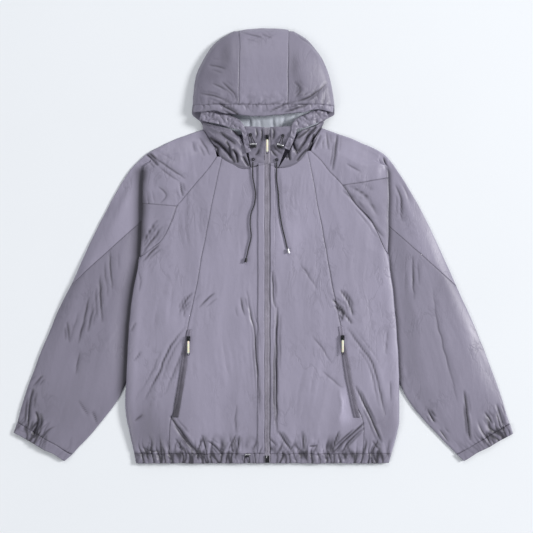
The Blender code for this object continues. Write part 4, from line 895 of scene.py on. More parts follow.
# Painted highlights and painted shade on the cloth, over those of its piece: middle, reach both ways, change.
PaintedSpot = namedtuple("PaintedSpot", "x y across along change")
PAINTED_SPOTS = ((164, 124, 12, 38, 0.42), (172, 96, 14, 14, 0.20), (-85, 852, 12, 34, -0.28),
          (60, 828, 9, 30, -0.28), (70, 790, 9, 22, -0.24), (-112, 812, 16, 14, -0.14),
          (-250, 70, 60, 70, -0.33), (250, 80, 45, 60, -0.26), (7, 690, 9, 14, -0.35),
          (-470, 90, 50, 60, -0.10), (470, 90, 50, 60, -0.10), (-245, 470, 18, 70, -0.08),
          (385, 430, 35, 80, -0.14), (452, 270, 25, 60, -0.14), (330, 550, 30, 50, -0.10),
          (70, 480, 40, 60, 0.05), (-75, 300, 40, 120, 0.03), (300, 560, 20, 60, -0.06),
          (0, 100, 230, 60, -0.06), (110, 770, 40, 12, -0.08))
# Painted light and shade along a pocket's tape: share of its colour at its foot and further up, and over what
# length.
POCKET_TAPE_PAINTED_LIGHT = {"pocket_zip_left": (0.72, 1.3, 120.0), "pocket_zip_right": (1.70, 1.60, 50.0)}
HOLLOW_FULL = 1.3                # depth below the cloth around at which the hollowness, and so the painted shade, is full, mm
WAVER = 0.7                      # how far edges and seams waver from their laid-out lines, mm
laid = {}                        # fine points and faces of each shell, for what is put on it later


def wavered(x, y):
    """Places moved a little to and fro along the surface, as cloth lies that nobody ironed flat."""
    drawn = 1.2 * bell(y - 14, 16) + 1.6 * bell(y - 738, 12)
    reach = (WAVER + drawn) * clear_of_hardware(x, y)
    return x + WAVER * noise(x / 40, y / 40, 91), y + reach * noise(x / 24, y / 40, 92)


def painted_light_share(name, x, y):
    """Painted light and shade at each place of a piece: the share of its colour that the cloth shows there.
    """
    share = level(x, PIECE_PAINTED_LIGHT.get(name, 1.0))
    for painted_spot in named(PaintedSpot, PAINTED_SPOTS):
        away = ((x - painted_spot.x) / painted_spot.across) ** 2 + ((y - painted_spot.y) / painted_spot.along) ** 2
        share *= 1 + painted_spot.change * np.exp(-away)
    # A pocket's tape: painted light and shade along its length, lighter still at its top end.
    if name.startswith("pocket_zip"):
        low, high, over = POCKET_TAPE_PAINTED_LIGHT[name]
        share *= mix(low, high, ramp((y - 95) / over)) * mix(1.0, 1.7, ramp((y - 263) / 6))
    # Beneath the body's turned edge, a lower sleeve's painted light and shade give way to nearly its own
    # colour.
    if name.startswith("sleeve_lower"):
        side = -1 if name.endswith("left") else 1
        share = mix(share, 0.98, ramp((covering_edge(side, y) - side * x) / 6) * (y > 400))
    return share


def cloth_relief(name, x, y, loose, folds, ruffle):
    """Height of a piece's relief on a grid, how near a seam lies, and the painted shade of its creases and
    dips.
    """
    height, closeness, crease_shade = (field.reshape(x.shape) for field in relief(x.ravel(), y.ravel()))
    if folds or ruffle:
        height = 0.4 * height + ruffle * (puckers(x / 15, y / 15, 95) + 0.45 * puckers(x / 8, y / 8, 96))
    if folds:
        own = crease_relief(x.ravel(), y.ravel(), folds, True)
        creased, bent = (field.reshape(x.shape) for field in own)
        height, crease_shade = height + creased, np.maximum(crease_shade, bent)
    height = loose * height
    # Painted shade: in the dips of the relief, and along its sharp creases.
    hollow = np.maximum(0.6 * hollowness(height), crease_shade * np.minimum(loose, 1.0))
    # Painted shadow on a sleeve beside the fold that lies over it.
    if name.startswith("sleeve"):
        hollow = np.maximum(hollow, painted_fold_shadow(x, y))
    return height, closeness, hollow


def cells(shape, absent, row_of, column_of):
    """Corners of the fine cells of a grid, without those that lie in an absent coarse cell."""
    corner = np.arange(shape[0] * shape[1]).reshape(shape)
    faces = np.stack([corner[:-1, :-1], corner[:-1, 1:], corner[1:, 1:], corner[1:, :-1]], axis=-1)
    if absent:
        rows, columns = range(row_of[-1] + 1), range(column_of[-1] + 1)
        kept = np.array([[not absent(row, col) for col in columns] for row in rows])
        faces = faces[kept[row_of][:, column_of]]
    return faces.reshape(-1, 4)


def sheet(name, points, collection, material="nylon", wall=CLOTH, absent=None, weights=1.0,
          spacing=None, folds=(), ruffle=0.0, finish=None):
    """Thin shell along a node's own form, with the relief of the loose cloth where weights is 1."""
    grid = np.array(points, float)
    spacing = spacing or bpy.context.scene.jacket_sizes.cloth_step / MM
    weights = np.broadcast_to(weights, grid.shape[:2])
    fine, row_of, column_of = refine(np.dstack([grid, weights]), spacing)
    x, y, low, loose = (fine[..., k] for k in range(4))
    height, closeness, hollow = cloth_relief(name, x, y, loose, folds, ruffle)
    z = np.maximum(low + height, SHELL / 2)
    # Painted light and shade of the piece, which its finish scales the colour by.
    grain = painted_light_share(name, x, y)
    x, y = wavered(x, y)
    used, faces = np.unique(cells(x.shape, absent, row_of, column_of), return_inverse=True)
    faces = faces.reshape(-1, 4)
    place = np.dstack([x, y, z]).reshape(-1, 3)[used]
    mesh = bpy.data.meshes.new(name)
    mesh.from_pydata([placed(*p) for p in place], [], faces.tolist())
    mesh.shade_smooth()
    # The finish darkens the colour at seams and by the painted shade, and scales it by the painted light.
    for label, field in (("seam", closeness), ("hollow", hollow), ("grain", grain)):
        carry(mesh, label, field.ravel()[used])
    thing = shown(f"{name}_cloth", mesh, finish or material, collection)
    thicken = thing.modifiers.new("wall", "SOLIDIFY")
    thicken.thickness = wall * SHELL * MM
    thicken.offset = 0.0
    laid[name] = (place, faces)
    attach(thing, "jacket")
    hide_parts(name)
    return thing


def placed(x, y, z):
    """A point of the tables in the part's own frame, in metres."""
    return Vector((x - PLAN_CENTRE[0], y - PLAN_CENTRE[1], z)) * MM


def carry(mesh, name, values):
    """Keeps a number at each point of a mesh, for its finish."""
    kept = mesh.attributes.new(name, "FLOAT", "POINT")
    kept.data.foreach_set("value", values.astype(np.float32))


def shown(name, data, finish, collection):
    """Object of a piece, in its collection and with its finish."""
    thing = bpy.data.objects.new(name, data)
    collection.objects.link(thing)
    data.materials.append(finish_of(finish))
    return thing


# ---------------- finishes
def linear(hex_colour):
    """sRGB hex colour as linear red, green and blue."""
    parts = [int(hex_colour[i:i + 2], 16) / 255 for i in (1, 3, 5)]
    return tuple(p / 12.92 if p <= 0.04045 else ((p + 0.055) / 1.055) ** 2.4 for p in parts)


def node(tree, kind, inputs=None, **settings):
    """Adds a node with its settings and what feeds it."""
    made = tree.nodes.new(kind)
    for name, value in settings.items():
        setattr(made, name, value)
    for name, value in (inputs or {}).items():
        socket = made.inputs[name]
        if isinstance(value, bpy.types.NodeSocket):
            tree.links.new(value, socket)
        else:
            socket.default_value = value
    return made


def new_material(name, **surface):
    """Material with a Principled surface, whose constant values are on its own sockets."""
    material = bpy.data.materials.new(name)
    material.use_nodes = True
    tree = material.node_tree
    shader = tree.nodes["Principled BSDF"]
    for socket, value in surface.items():
        shader.inputs[socket.replace("_", " ")].default_value = value
    place = tree.nodes.new("ShaderNodeTexCoord").outputs["Object"]
    return material, tree, shader, place


def cloudy(tree, place, scale, detail, **more):
    """Soft noise with so many swells to the metre."""
    feeds = {"Vector": place, "Scale": scale, "Detail": detail, **more}
    return node(tree, "ShaderNodeTexNoise", feeds).outputs["Fac"]


def ribbed(tree, place, scale, distortion, across):
    """Even bands across one direction."""
    feeds = {"Vector": place, "Scale": scale, "Distortion": distortion}
    return node(tree, "ShaderNodeTexWave", feeds, bands_direction=across).outputs["Fac"]


def sum_of(tree, operation, *values):
    """Result of one arithmetic node."""
    return node(tree, "ShaderNodeMath", dict(enumerate(values)), operation=operation).outputs[0]


def noted(tree, name):
    """A value that the shell carries at each of its points."""
    return node(tree, "ShaderNodeAttribute", attribute_name=name).outputs["Fac"]


def shade(colour, share):
    return tuple(c * share for c in colour)


def two_tone(tree, factor, first, second):
    """Colour that goes from first to second with the factor."""
    mixer = node(tree, "ShaderNodeMix", {"Factor": factor}, data_type="RGBA")
    for socket, value in (("A_Color", first), ("B_Color", second)):
        entry = next(s for s in mixer.inputs if s.identifier == socket)
        if isinstance(value, bpy.types.NodeSocket):
            tree.links.new(value, entry)
        else:
            entry.default_value = (*value, 1.0)
    return next(s for s in mixer.outputs if s.identifier == "Result_Color")


def bump(tree, height, strength, distance, below=None):
    inputs = {"Height": height, "Strength": strength, "Distance": distance}
    if below:
        inputs["Normal"] = below
    return node(tree, "ShaderNodeBump", inputs).outputs["Normal"]


def spread(tree, value, low, high, to_low=0.0, to_high=1.0):
    """The value from low to high spread over another range, and held at its ends."""
    return node(tree, "ShaderNodeMapRange", {"Value": value, "From Min": low, "From Max": high,
                                            "To Min": to_low, "To Max": to_high}).outputs["Result"]


def with_painted_light(tree, colour):
    """Colour scaled by the painted light and shade that the piece carries at each place."""
    feeds = {0: colour, "Scale": noted(tree, "grain")}
    return node(tree, "ShaderNodeVectorMath", feeds, operation="SCALE").outputs["Vector"]


def woven_nylon(colour, seam_and_shade_colour):
    """Calendered nylon taffeta: hot rollers flatten its plain weave, so it has a soft, cool shine.

    Threads run at about 5 to the millimetre, too fine to show, so the weave is drawn at 1.1 mm.
    """
    material, tree, shader, place = new_material("woven_nylon_taffeta", IOR=1.53, Specular_IOR_Level=0.4,
                                                 Sheen_Weight=0.10, Sheen_Roughness=0.5)
    cloud = cloudy(tree, place, 7.0, 3.0)
    speckle = spread(tree, cloudy(tree, place, 260.0, 2.0), 0.2, 0.8, 0.0, 0.12)
    toned = two_tone(tree, spread(tree, cloud, 0.35, 0.7), colour, shade(colour, 0.90))
    toned = two_tone(tree, speckle, toned, shade(colour, 1.25))
    # Fine creases: a net of thin bent lines, drawn out along the garment and missing in places.
    drawn = node(tree, "ShaderNodeMapping", {"Vector": place, "Scale": (1.0, 0.42, 1.0)}).outputs["Vector"]
    # Painted sheen: soft streaks drawn out along the garment, where the colour is a little darker.
    sheen = cloudy(tree, drawn, 16.0, 4.0, Distortion=0.8)
    toned = two_tone(tree, spread(tree, sheen, 0.35, 0.68, 0.0, 0.5), toned, shade(colour, 0.84))
    creased = cloudy(tree, drawn, 34.0, 3.0, Roughness=0.6, Distortion=0.5)
    away = sum_of(tree, "ABSOLUTE", sum_of(tree, "SUBTRACT", creased, 0.5))
    where = spread(tree, cloudy(tree, place, 11.0, 1.0), 0.45, 0.66)
    line = sum_of(tree, "MULTIPLY", spread(tree, away, 0.0, 0.05, 1.0, 0.0), where)
    # Painted shade along the fine creases.
    toned = two_tone(tree, spread(tree, line, 0.0, 1.0, 0.0, 0.18), toned, seam_and_shade_colour)
    # Darker along the seams: the cloth lies doubled there, and the line is also painted shade in the seam's
    # dip.
    toned = two_tone(tree, spread(tree, noted(tree, "seam"), 0.25, 1.0, 0.0, 0.45), toned, seam_and_shade_colour)
    # Painted shade in the dips and sharp creases of the relief, and beside the folds over the sleeves.
    painted_shade_share = spread(tree, noted(tree, "hollow"), 0.04, 0.9, 0.0, 0.9)
    toned = two_tone(tree, painted_shade_share, toned, shade(seam_and_shade_colour, 0.4))
    # The colour is scaled by the painted light and shade of each place.
    tree.links.new(with_painted_light(tree, toned), shader.inputs["Base Color"])
    tree.links.new(spread(tree, cloud, 0.3, 0.7, 0.39, 0.51), shader.inputs["Roughness"])
    crumple = cloudy(tree, drawn, 75.0, 4.0, Roughness=0.55, Distortion=0.7)
    weave = sum_of(tree, "ADD", *(ribbed(tree, place, 280.0, 0.6, across) for across in "XY"))
    normal = bump(tree, sum_of(tree, "MULTIPLY", line, -1.0), 0.6, 0.0005)
    normal = bump(tree, crumple, 0.4, 0.0016, normal)
    normal = bump(tree, weave, 0.10, 0.00008, normal)
    tree.links.new(normal, shader.inputs["Normal"])
    return material


def knitted_lining(colours):
    """Brushed polyester tricot: knitted, so it is matt and a little furry."""
    pale = tuple(colours.lining)
    material, tree, shader, place = new_material("brushed_polyester_tricot", IOR=1.55, Roughness=0.78,
                                                 Sheen_Weight=0.25, Sheen_Roughness=0.6)
    cloud = cloudy(tree, place, 35.0, 3.0)
    toned = two_tone(tree, spread(tree, cloud, 0.35, 0.7), pale, shade(pale, 0.82))
    tree.links.new(toned, shader.inputs["Base Color"])
    wales = ribbed(tree, place, 230.0, 1.5, "X")
    normal = bump(tree, cloud, 0.6, 0.0010)
    tree.links.new(bump(tree, wales, 0.25, 0.0002, normal), shader.inputs["Normal"])
    return material


def zip_tape(dark, name):
    """Woven polyester zip tape in the coil's colour: a dense rib, matt beside the nylon."""
    material, tree, shader, place = new_material(name, IOR=1.55, Roughness=0.66)
    ribs = ribbed(tree, place, 330.0, 0.4, "Y")
    cloud = cloudy(tree, place, 50.0, 2.0)
    toned = two_tone(tree, spread(tree, cloud, 0.3, 0.7), dark, shade(dark, 0.75))
    # The tape's colour is scaled by the painted light and shade of each place.
    tree.links.new(with_painted_light(tree, toned), shader.inputs["Base Color"])
    tree.links.new(bump(tree, ribs, 0.4, 0.0002), shader.inputs["Normal"])
    return material


def braided_cord(colours):
    """Braided polyester cord: crossing strands give it a diamond pattern, matt and near black."""
    dark = tuple(colours.cord)
    material, tree, shader, place = new_material("braided_polyester_cord", IOR=1.55, Roughness=0.62)
    turned = node(tree, "ShaderNodeMapping", {"Vector": place, "Rotation": (0.0, 0.0, radians(45))})
    strands = node(tree, "ShaderNodeTexChecker", {"Vector": turned.outputs["Vector"], "Scale": 900.0})
    toned = two_tone(tree, strands.outputs["Fac"], dark, tuple(c * 2.2 + 0.004 for c in dark))
    tree.links.new(toned, shader.inputs["Base Color"])
    tree.links.new(bump(tree, strands.outputs["Fac"], 0.5, 0.0002), shader.inputs["Normal"])
    return material


def moulded_plastic(colours):
    """Acetal, injection moulded: smooth with a fine orange peel, so edges catch a soft light."""
    material, tree, shader, place = new_material("moulded_acetal", IOR=1.48, Roughness=0.34)
    peel = cloudy(tree, place, 1500.0, 2.0)
    dark = tuple(colours.plastic)
    tree.links.new(two_tone(tree, peel, dark, shade(dark, 1.6)), shader.inputs["Base Color"])
    tree.links.new(bump(tree, peel, 0.2, 0.0001), shader.inputs["Normal"])
    return material


def plated_metal(bright, name):
    """Plated zinc, die cast and tumbled: nickel shines, gunmetal is dark, both are finely rubbed."""
    material, tree, shader, place = new_material(name, Metallic=1.0)
    rubbed = cloudy(tree, place, 700.0, 3.0)
    tree.links.new(two_tone(tree, rubbed, bright, shade(bright, 0.7)), shader.inputs["Base Color"])
    tree.links.new(spread(tree, rubbed, 0.3, 0.7, 0.22, 0.38), shader.inputs["Roughness"])
    return material


def moulded_rubber(colours):
    """Thermoplastic rubber, moulded: satin, with light scattered a little way into it."""
    material, tree, shader, place = new_material("moulded_cream_rubber", IOR=1.50, Subsurface_Weight=0.15,
                                                 Subsurface_Scale=0.002)
    grain = cloudy(tree, place, 900.0, 2.0)
    cream = tuple(colours.rubber)
    tree.links.new(two_tone(tree, grain, cream, shade(cream, 0.86)), shader.inputs["Base Color"])
    tree.links.new(spread(tree, grain, 0.3, 0.7, 0.42, 0.55), shader.inputs["Roughness"])
    tree.links.new(bump(tree, grain, 0.2, 0.0001), shader.inputs["Normal"])
    return material


def sewing_thread(colours):
    """Corespun polyester thread, twisted and lightly waxed, a shade darker than the cloth."""
    dark = tuple(colours.thread)
    material, tree, shader, place = new_material("corespun_polyester_thread", IOR=1.55, Roughness=0.5)
    twist = cloudy(tree, place, 1200.0, 1.0)
    tree.links.new(two_tone(tree, twist, dark, shade(dark, 1.5)), shader.inputs["Base Color"])
    return material


def finish_of(slot):
    """The material of a slot, made when it is first asked for."""
    colours = bpy.context.scene.jacket_colours
    makers = {
        "nylon": lambda: woven_nylon(tuple(colours.nylon), tuple(colours.nylon_seam_and_shade)),
        "lining": lambda: knitted_lining(colours),
        "coil": lambda: zip_tape(tuple(colours.tape), "woven_polyester_tape"),
        "pocket_coil": lambda: zip_tape(tuple(colours.pocket_tape), "woven_polyester_pocket_tape"),
        "cord": lambda: braided_cord(colours),
        "black_plastic": lambda: moulded_plastic(colours),
        "slider_metal": lambda: plated_metal(tuple(colours.slider), "gunmetal_plated_zinc"),
        "bead_steel": lambda: plated_metal(tuple(colours.metal), "nickel_plated_zinc"),
        "cream_rubber": lambda: moulded_rubber(colours),
        "thread": lambda: sewing_thread(colours),
    }
    if slot not in finishes:
        finishes[slot] = makers[slot]()
    return finishes[slot]


finishes = {}


def dress(name, slot):
    """A hard node keeps its own form and gets its finish."""
    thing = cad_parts[name]
    thing.data.materials.clear()
    thing.data.materials.append(finish_of(slot))
    for polygon in thing.data.polygons:
        polygon.material_index = 0
    return thing


# ---------------- cords
EYELET_ROD = 0.9                 # radius of the ring that an eyelet is bent from
LOCK_SIZE = (12.0, 9.0, 6.0)
LOCK_BASE = CLOTH / 2 + 1.6      # underside of a cord lock above the cloth's middle


def cord_curve(name, route, diameter, collection):
    """Cord as one smooth open curve through its route, which repeats the node's own."""
    points = smooth_route(route, 2.5 * diameter)
    if len(points) < 15:
        points = smooth_route(route, 0.9 * diameter)
    data = bpy.data.curves.new(name, "CURVE")
    data.dimensions = "3D"
    data.bevel_depth = diameter / 2 * MM
    data.bevel_resolution = 4
    data.use_fill_caps = True
    spline = data.splines.new("NURBS")
    spline.points.add(len(points) - 1)
    for point, place in zip(spline.points, points):
        point.co = (*placed(*place), 1.0)
    spline.order_u = 3
    spline.use_endpoint_u = True
    spline.resolution_u = 3
    thing = shown(f"{name}_braid", data, "cord", collection)
    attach(thing, "jacket")
    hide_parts(name)
    return thing


def drawcord_routes(side):
    """Routes of the long drawcord and of the short strand between its eyelet and its lock."""
    lie = ON_CLOTH + CORD / 2
    plan = CORD_ROUTE[side]
    long = [(x, y, max(centre_height(x, y), centre_height(x, y + 9.0)) + lie) for x, y in plan]
    long[0] = (*long[0][:2], long[0][2] + 0.8)
    x, y, turn = CORD_LOCK[side]
    eye_x, eye_y = EYELET_UPPER[side]
    eye_z = centre_height(eye_x, eye_y) + CLOTH / 2 + 1.1 + 2 * EYELET_ROD + 0.4 + SHORT_CORD / 2
    lock_z = centre_height(x, y) + LOCK_BASE + LOCK_SIZE[2] / 2
    ends = []
    for apart in (-3.0, 3.0):
        away = Matrix.Rotation(radians(turn), 2) @ Vector((apart, LOCK_SIZE[1] / 2 + 1.2))
        ends.append((x + away.x, y + away.y, lock_z))
    halfway = [(mix(end[0], eye_x, 0.5), mix(end[1], eye_y, 0.5), eye_z + 1.0) for end in ends]
    loop = [(eye_x - 1.8, eye_y - 1.5, eye_z + 0.5), (eye_x, eye_y + 0.6, eye_z + 0.5),
            (eye_x + 1.8, eye_y - 1.5, eye_z + 0.5)]
    return long, [ends[0], halfway[0]] + loop + [halfway[1], ends[1]]


def hem_loop_route():
    x, y = HEM_EYELET
    z = HEM_FRONT + CASING / 2 + 0.35 + SHORT_CORD / 2
    above = z + 2 * EYELET_ROD + 0.4
    return [(x - 4.5, 1.0, z), (x - 5.0, 9.0, z + 1.0), (x - 3.0, y, above + 0.3), (x, y + 2.0, above + 0.3),
            (x + 3.0, y, above + 0.3), (x + 5.0, 9.0, z + 1.0), (x + 4.0, 1.0, z)]


# ---------------- stitches and zip teeth
STITCH_PITCH, STITCH_LENGTH, STITCH_HALF = 3.4, 2.5, 0.28
TOOTH_PITCH = 1.5
# How far to the left of each kind of seam its topstitching runs.
STITCHED = {"princess": 1.6, "raglan": 1.6, "cross": 1.6, "hood": 1.6, "hem": 1.5, "brim": -1.5, "cuff": -1.5}


def upper_side(names):
    """Search tree over the upper side of the named shells."""
    places, faces, count = [], [], 0
    for name in names:
        place, face = laid[name]
        places.append(place)
        faces.append(face + count)
        count += len(place)
    return BVHTree.FromPolygons(np.concatenate(places).tolist(), np.concatenate(faces).tolist())


def drop(tree, x, y):
    """Height of the cloth's upper face at a point, or None beside the cloth."""
    hit = tree.ray_cast(Vector((x, y, 120.0)), Vector((0.0, 0.0, -1.0)))[0]
    return None if hit is None else hit.z + SHELL / 2


def evenly(line, pitch):
    """Points at an even pitch along a line, with its direction at each."""
    line = np.array(line, float)
    steps = np.hypot(*np.diff(line, axis=0).T)
    along = np.concatenate(([0.0], np.cumsum(steps)))
    at = np.arange(0.0, along[-1], pitch)
    points = np.stack([np.interp(at, along, line[:, k]) for k in (0, 1)], axis=1)
    heading = unit(np.gradient(points, axis=0))
    return points, heading


def small_bars(name, bars, slot, collection):
    """One mesh of many small bars, each (start, end, side vector, rise) with tapered ends."""
    vertices, faces = [], []
    for start, end, side, rise in bars:
        first = len(vertices)
        middle = (start + end) / 2
        ring = [middle + side, middle + rise, middle - side, middle - rise]
        vertices += [start, *ring, end]
        for k in range(4):
            a, b = first + 1 + k, first + 1 + (k + 1) % 4
            faces += [(first, b, a), (first + 5, a, b)]
    mesh = bpy.data.meshes.new(name)
    mesh.from_pydata([placed(*v) for v in vertices], [], faces)
    mesh.shade_smooth()
    thing = shown(name, mesh, slot, collection)
    # The bars take no painted light or shade: the finish scales their colour by one.
    carry(mesh, "grain", np.ones(len(vertices)))
    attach(thing, "jacket")
    return thing


def stitch_row(tree, line, aside):
    """Stitches along a line, moved aside from it."""
    points, heading = evenly(line, STITCH_PITCH)
    bars = []
    for (x, y), (dx, dy) in zip(points, heading):
        ends = []
        for reach in (-STITCH_LENGTH / 2, STITCH_LENGTH / 2):
            px, py = x + dx * reach - dy * aside, y + dy * reach + dx * aside
            z = drop(tree, px, py)
            if z is not None:
                ends.append(np.array((px, py, z - 0.05)))
        if len(ends) == 2 and abs(ends[0][2] - ends[1][2]) < 1.5:
            side = np.array((-dy, dx, 0.0)) * STITCH_HALF
            bars.append((ends[0], ends[1], side, np.array((0.0, 0.0, 0.35))))
    return bars


def unit(vectors):
    return vectors / np.maximum(np.linalg.norm(vectors, axis=-1, keepdims=True), 1e-6)


def square_in(edge, inner):
    """Directions within the sheet, square to its edge and pointing in from it."""
    along = unit(np.gradient(edge, axis=0))
    inwards = inner - edge
    inwards -= along * np.sum(inwards * along, axis=-1, keepdims=True)
    return unit(inwards)


def trim(points, edges=("first_row", "last_row", "first_column", "last_column")):
    """Pull the named edges of a sheet of points in by half of the seam gap."""
    points = np.array(points, float)
    half = SEAM_GAP / 2
    lowest = points[..., 2].min()
    if "first_row" in edges:
        points[0] += square_in(points[0], points[1]) * half
    if "last_row" in edges:
        points[-1] += square_in(points[-1], points[-2]) * half
    if "first_column" in edges:
        points[:, 0] += square_in(points[:, 0], points[:, 1]) * half
    if "last_column" in edges:
        points[:, -1] += square_in(points[:, -1], points[:, -2]) * half
    points[..., 2] = np.maximum(points[..., 2], lowest)
    return points


def smooth_route(route, spacing):
    """Points every spacing along a smooth curve through a route's own points."""
    route = np.array(route, float)
    steps = np.linalg.norm(np.diff(route, axis=0), axis=1)
    along = np.concatenate(([0.0], np.cumsum(steps)))
    count = max(int(along[-1] / spacing), 2)
    stations = np.linspace(0.0, along[-1], count + 1)
    return [[smooth(along, route[:, axis], s) for axis in range(3)] for s in stations]


# ---------------- body
LOWER_ROWS = (20.0, 34, 50, 66, 90, 129, 180, 235, 285, 330, 370, 405)
SHOULDER_STATIONS = (0, 1, 2, 2.5, 3, 4, 5)
LOWER_STATIONS = (5, 6, 7, 8, 9, 10, 11, 12, 13, 14, 15)
ARMHOLE_STATIONS = sorted(set(SHOULDER_STATIONS) | set(LOWER_STATIONS[:4]), reverse=True)
TURN_GAP = 0.4                   # from a turned edge's middle to each of the two pieces that meet there
QUARTERS = (0.0, 0.25, 0.5, 0.75, 1.0)


def front_rows(side):
    """Row heights of the front panels with the distance of each row's outer end from the zip."""
    armpit_y = SHOULDER[side][ARMPIT].fold_y - 3.0
    rows = [(y, body_side(side, y), True) for y in LOWER_ROWS + (armpit_y,)]
    for station in ARMHOLE_STATIONS:
        outer, y = ring_point(SHOULDER[side], "raglan", station)
        rows.append((y, outer, False))
    return rows


def side_turn(side, y):
    """Middle of the body's turned side edge, between its front and its back."""
    x = side * body_side(side, y)
    return (front_height(x, y) + back_height(x, y)) / 2


def front_side_panel(side, parts):
    points = []
    for y, outer, turned in front_rows(side):
        inner = princess(side, y)
        bend = outer - min(BEND, (outer - inner) * 0.4)
        xs = [side * mix(inner, bend, part) for part in (0.0, 0.35, 0.7, 1.0)]
        row = [(x, y, front_height(x, y)) for x in xs]
        edge = side_turn(side, y) + TURN_GAP if turned else front_height(side * outer, y)
        row.append((side * outer, y, edge))
        points.append(row)
    points = trim(points, ("first_row", "last_row", "first_column"))
    open_rows = range(len(LOWER_ROWS) + 1, len(points))
    points[open_rows, -1] += unit(points[open_rows, -2] - points[open_rows, -1]) * SEAM_GAP / 2
    weights = np.ones(points.shape[:2])
    weights[:len(LOWER_ROWS) + 1, -2:] = (0.7, 0.1)
    sheet(f"front_side_{SIDE_NAME[side]}", points, parts, weights=weights)


def front_centre_panel(side, parts):
    inner = ZIP_LEFT if side < 0 else ZIP_RIGHT
    rows = front_rows(side)
    top = rows[-1][0]
    points = []
    for y, _, _ in rows:
        row = []
        lift = ramp((y - 500.0) / (top - 500.0))
        for part in QUARTERS:
            x = side * mix(inner, princess(side, y), part)
            row_y = y + (neck_seam_y(x) - top) * lift
            row.append((x, row_y, front_height(x, row_y)))
        points.append(row)
    sheet(f"front_centre_{SIDE_NAME[side]}", trim(points), parts, spacing=2.0)


def back_row(y, armhole=None):
    """Points of one row of the back, from its left to its right edge."""
    halves = {}
    for side in (-1, 1):
        if armhole is None:
            lift = hidden_sleeve_edge(side, y) - 5.0
            outer = body_side(side, y)
            lift = min(lift, outer - 3 * BEND)
            row_y = y
        else:
            lift = ring_value(SHOULDER[side], "back_x", armhole) - SEAM_GAP / 2
            outer = lift + 3 * BEND
            row_y = ring_value(SHOULDER[side], "back_y", armhole)
        foot = lift - 22.0
        middle = mix(lift, outer - BEND, 0.5)
        places = [outer, outer - BEND, middle, lift, foot]
        halves[side] = ([side * x for x in places], row_y)
    left, left_y = halves[-1]
    right, right_y = halves[1]
    inner = [mix(left[-1], right[-1], part) for part in (1 / 6, 2 / 6, 3 / 6, 4 / 6, 5 / 6)]
    xs = left + inner + right[::-1]
    row = []
    for x in xs:
        part = min(max((x - left[3]) / (right[3] - left[3]), 0.0), 1.0)
        row_y = mix(left_y, right_y, part)
        if armhole == 0:
            row_y = back_neck_y(x)
        row.append([x, row_y, back_height(x, row_y)])
    return row


def back_panel(parts):
    points = [back_row(y) for y in LOWER_ROWS]
    armpit = back_row(ARM[-1][ARMPIT].inner_y - 1.5)
    for col, (x, _, _) in enumerate(armpit):
        side = -1 if x < 0 else 1
        crease = ARM[side][ARMPIT]
        fold = SHOULDER[side][ARMPIT]
        outward = min(max((abs(x) - crease.inner_x) / (fold.fold_x - crease.inner_x), 0.0), 1.0)
        armpit[col][1] = mix(crease.inner_y, fold.fold_y, outward) - 1.5
    points.append(armpit)
    first_upper = len(points)
    points += [back_row(0.0, station) for station in ARMHOLE_STATIONS[1:]]
    for row in points[:first_upper]:
        for col, side in ((0, -1), (-1, 1)):
            row[col][2] = side_turn(side, row[col][1]) - TURN_GAP
    outer_columns = 3
    columns = len(points[0])

    def above_armpit(row, col):
        return row >= first_upper - 1 and not outer_columns <= col < columns - 1 - outer_columns

    weights = np.zeros(columns)
    weights[outer_columns + 2:columns - 2 - outer_columns] = 0.5
    sheet("back_panel", trim(points, ("first_row", "last_row")), parts, absent=above_armpit,
          weights=weights, spacing=6.0)


def hem_bands(parts):
    heights = (0.0, 10.0, CASING_DEPTH)
    for side in (-1, 1):
        inner = ZIP_LEFT if side < 0 else ZIP_RIGHT
        points = []
        for y in heights:
            outer = body_side(side, y)
            row = [(side * mix(inner, outer - 3 * BEND, part), y, HEM_FRONT) for part in np.linspace(0, 1, 8)]
            row.append((side * (outer - BEND), y, HEM_FRONT - 0.8))
            row.append((side * outer, y, HEM_FRONT / 2 + 1.6))
            points.append(row)
        points = trim(points, ("last_row", "first_column"))
        weights = np.array([1.0] * 8 + [0.6, 0.1])
        sheet(f"hem_front_{SIDE_NAME[side]}", points, parts, wall=CASING, weights=weights, spacing=1.8)
    points = []
    for y in heights:
        left, right = -body_side(-1, y), body_side(1, y)
        flat = [(x, y, CASING / 2) for x in np.linspace(left + 2 * BEND, right - 2 * BEND, 11)]
        points.append([(left, y, HEM_FRONT / 2 - 0.7)] + flat + [(right, y, HEM_FRONT / 2 - 0.7)])
    sheet("hem_back", trim(points, ("last_row",)), parts, wall=CASING, weights=0.0, spacing=6.0)


# ---------------- sleeves
FIRST_ARM_COLUMN = 7             # the inner crease, which is the underarm seam below the armpit
OUTER_ARM_COLUMN = 14


def arm_height(side, station, x, y, inwards, outwards):
    """Middle of the sleeve's front: low beneath the body and at both edges."""
    apex = ramp((station - 3.0) / 2.0)
    low = mix(APEX_SLEEVE, SLEEVE_UNDER, apex)
    loft = mix(ARM_LOFT, CUFF_LOFT, ramp((station - 11.0) / 4.0))
    clear = abs(x) - covering_edge(side, y)
    return low + (loft - low) * ramp(inwards / ARM_SOFT) * ramp(outwards / ARM_SOFT) * ramp(clear / ARM_SOFT)


def crossing(side, station, inner, outer):
    """How far along the ring the sleeve comes out from under the body."""
    if station < 3:
        return 0.45
    for part in np.linspace(0.1, 0.6, 51):
        place = mix(inner, outer, part)
        if place[0] >= covering_edge(side, place[1]) + BEND:
            return float(part)
    return 0.6


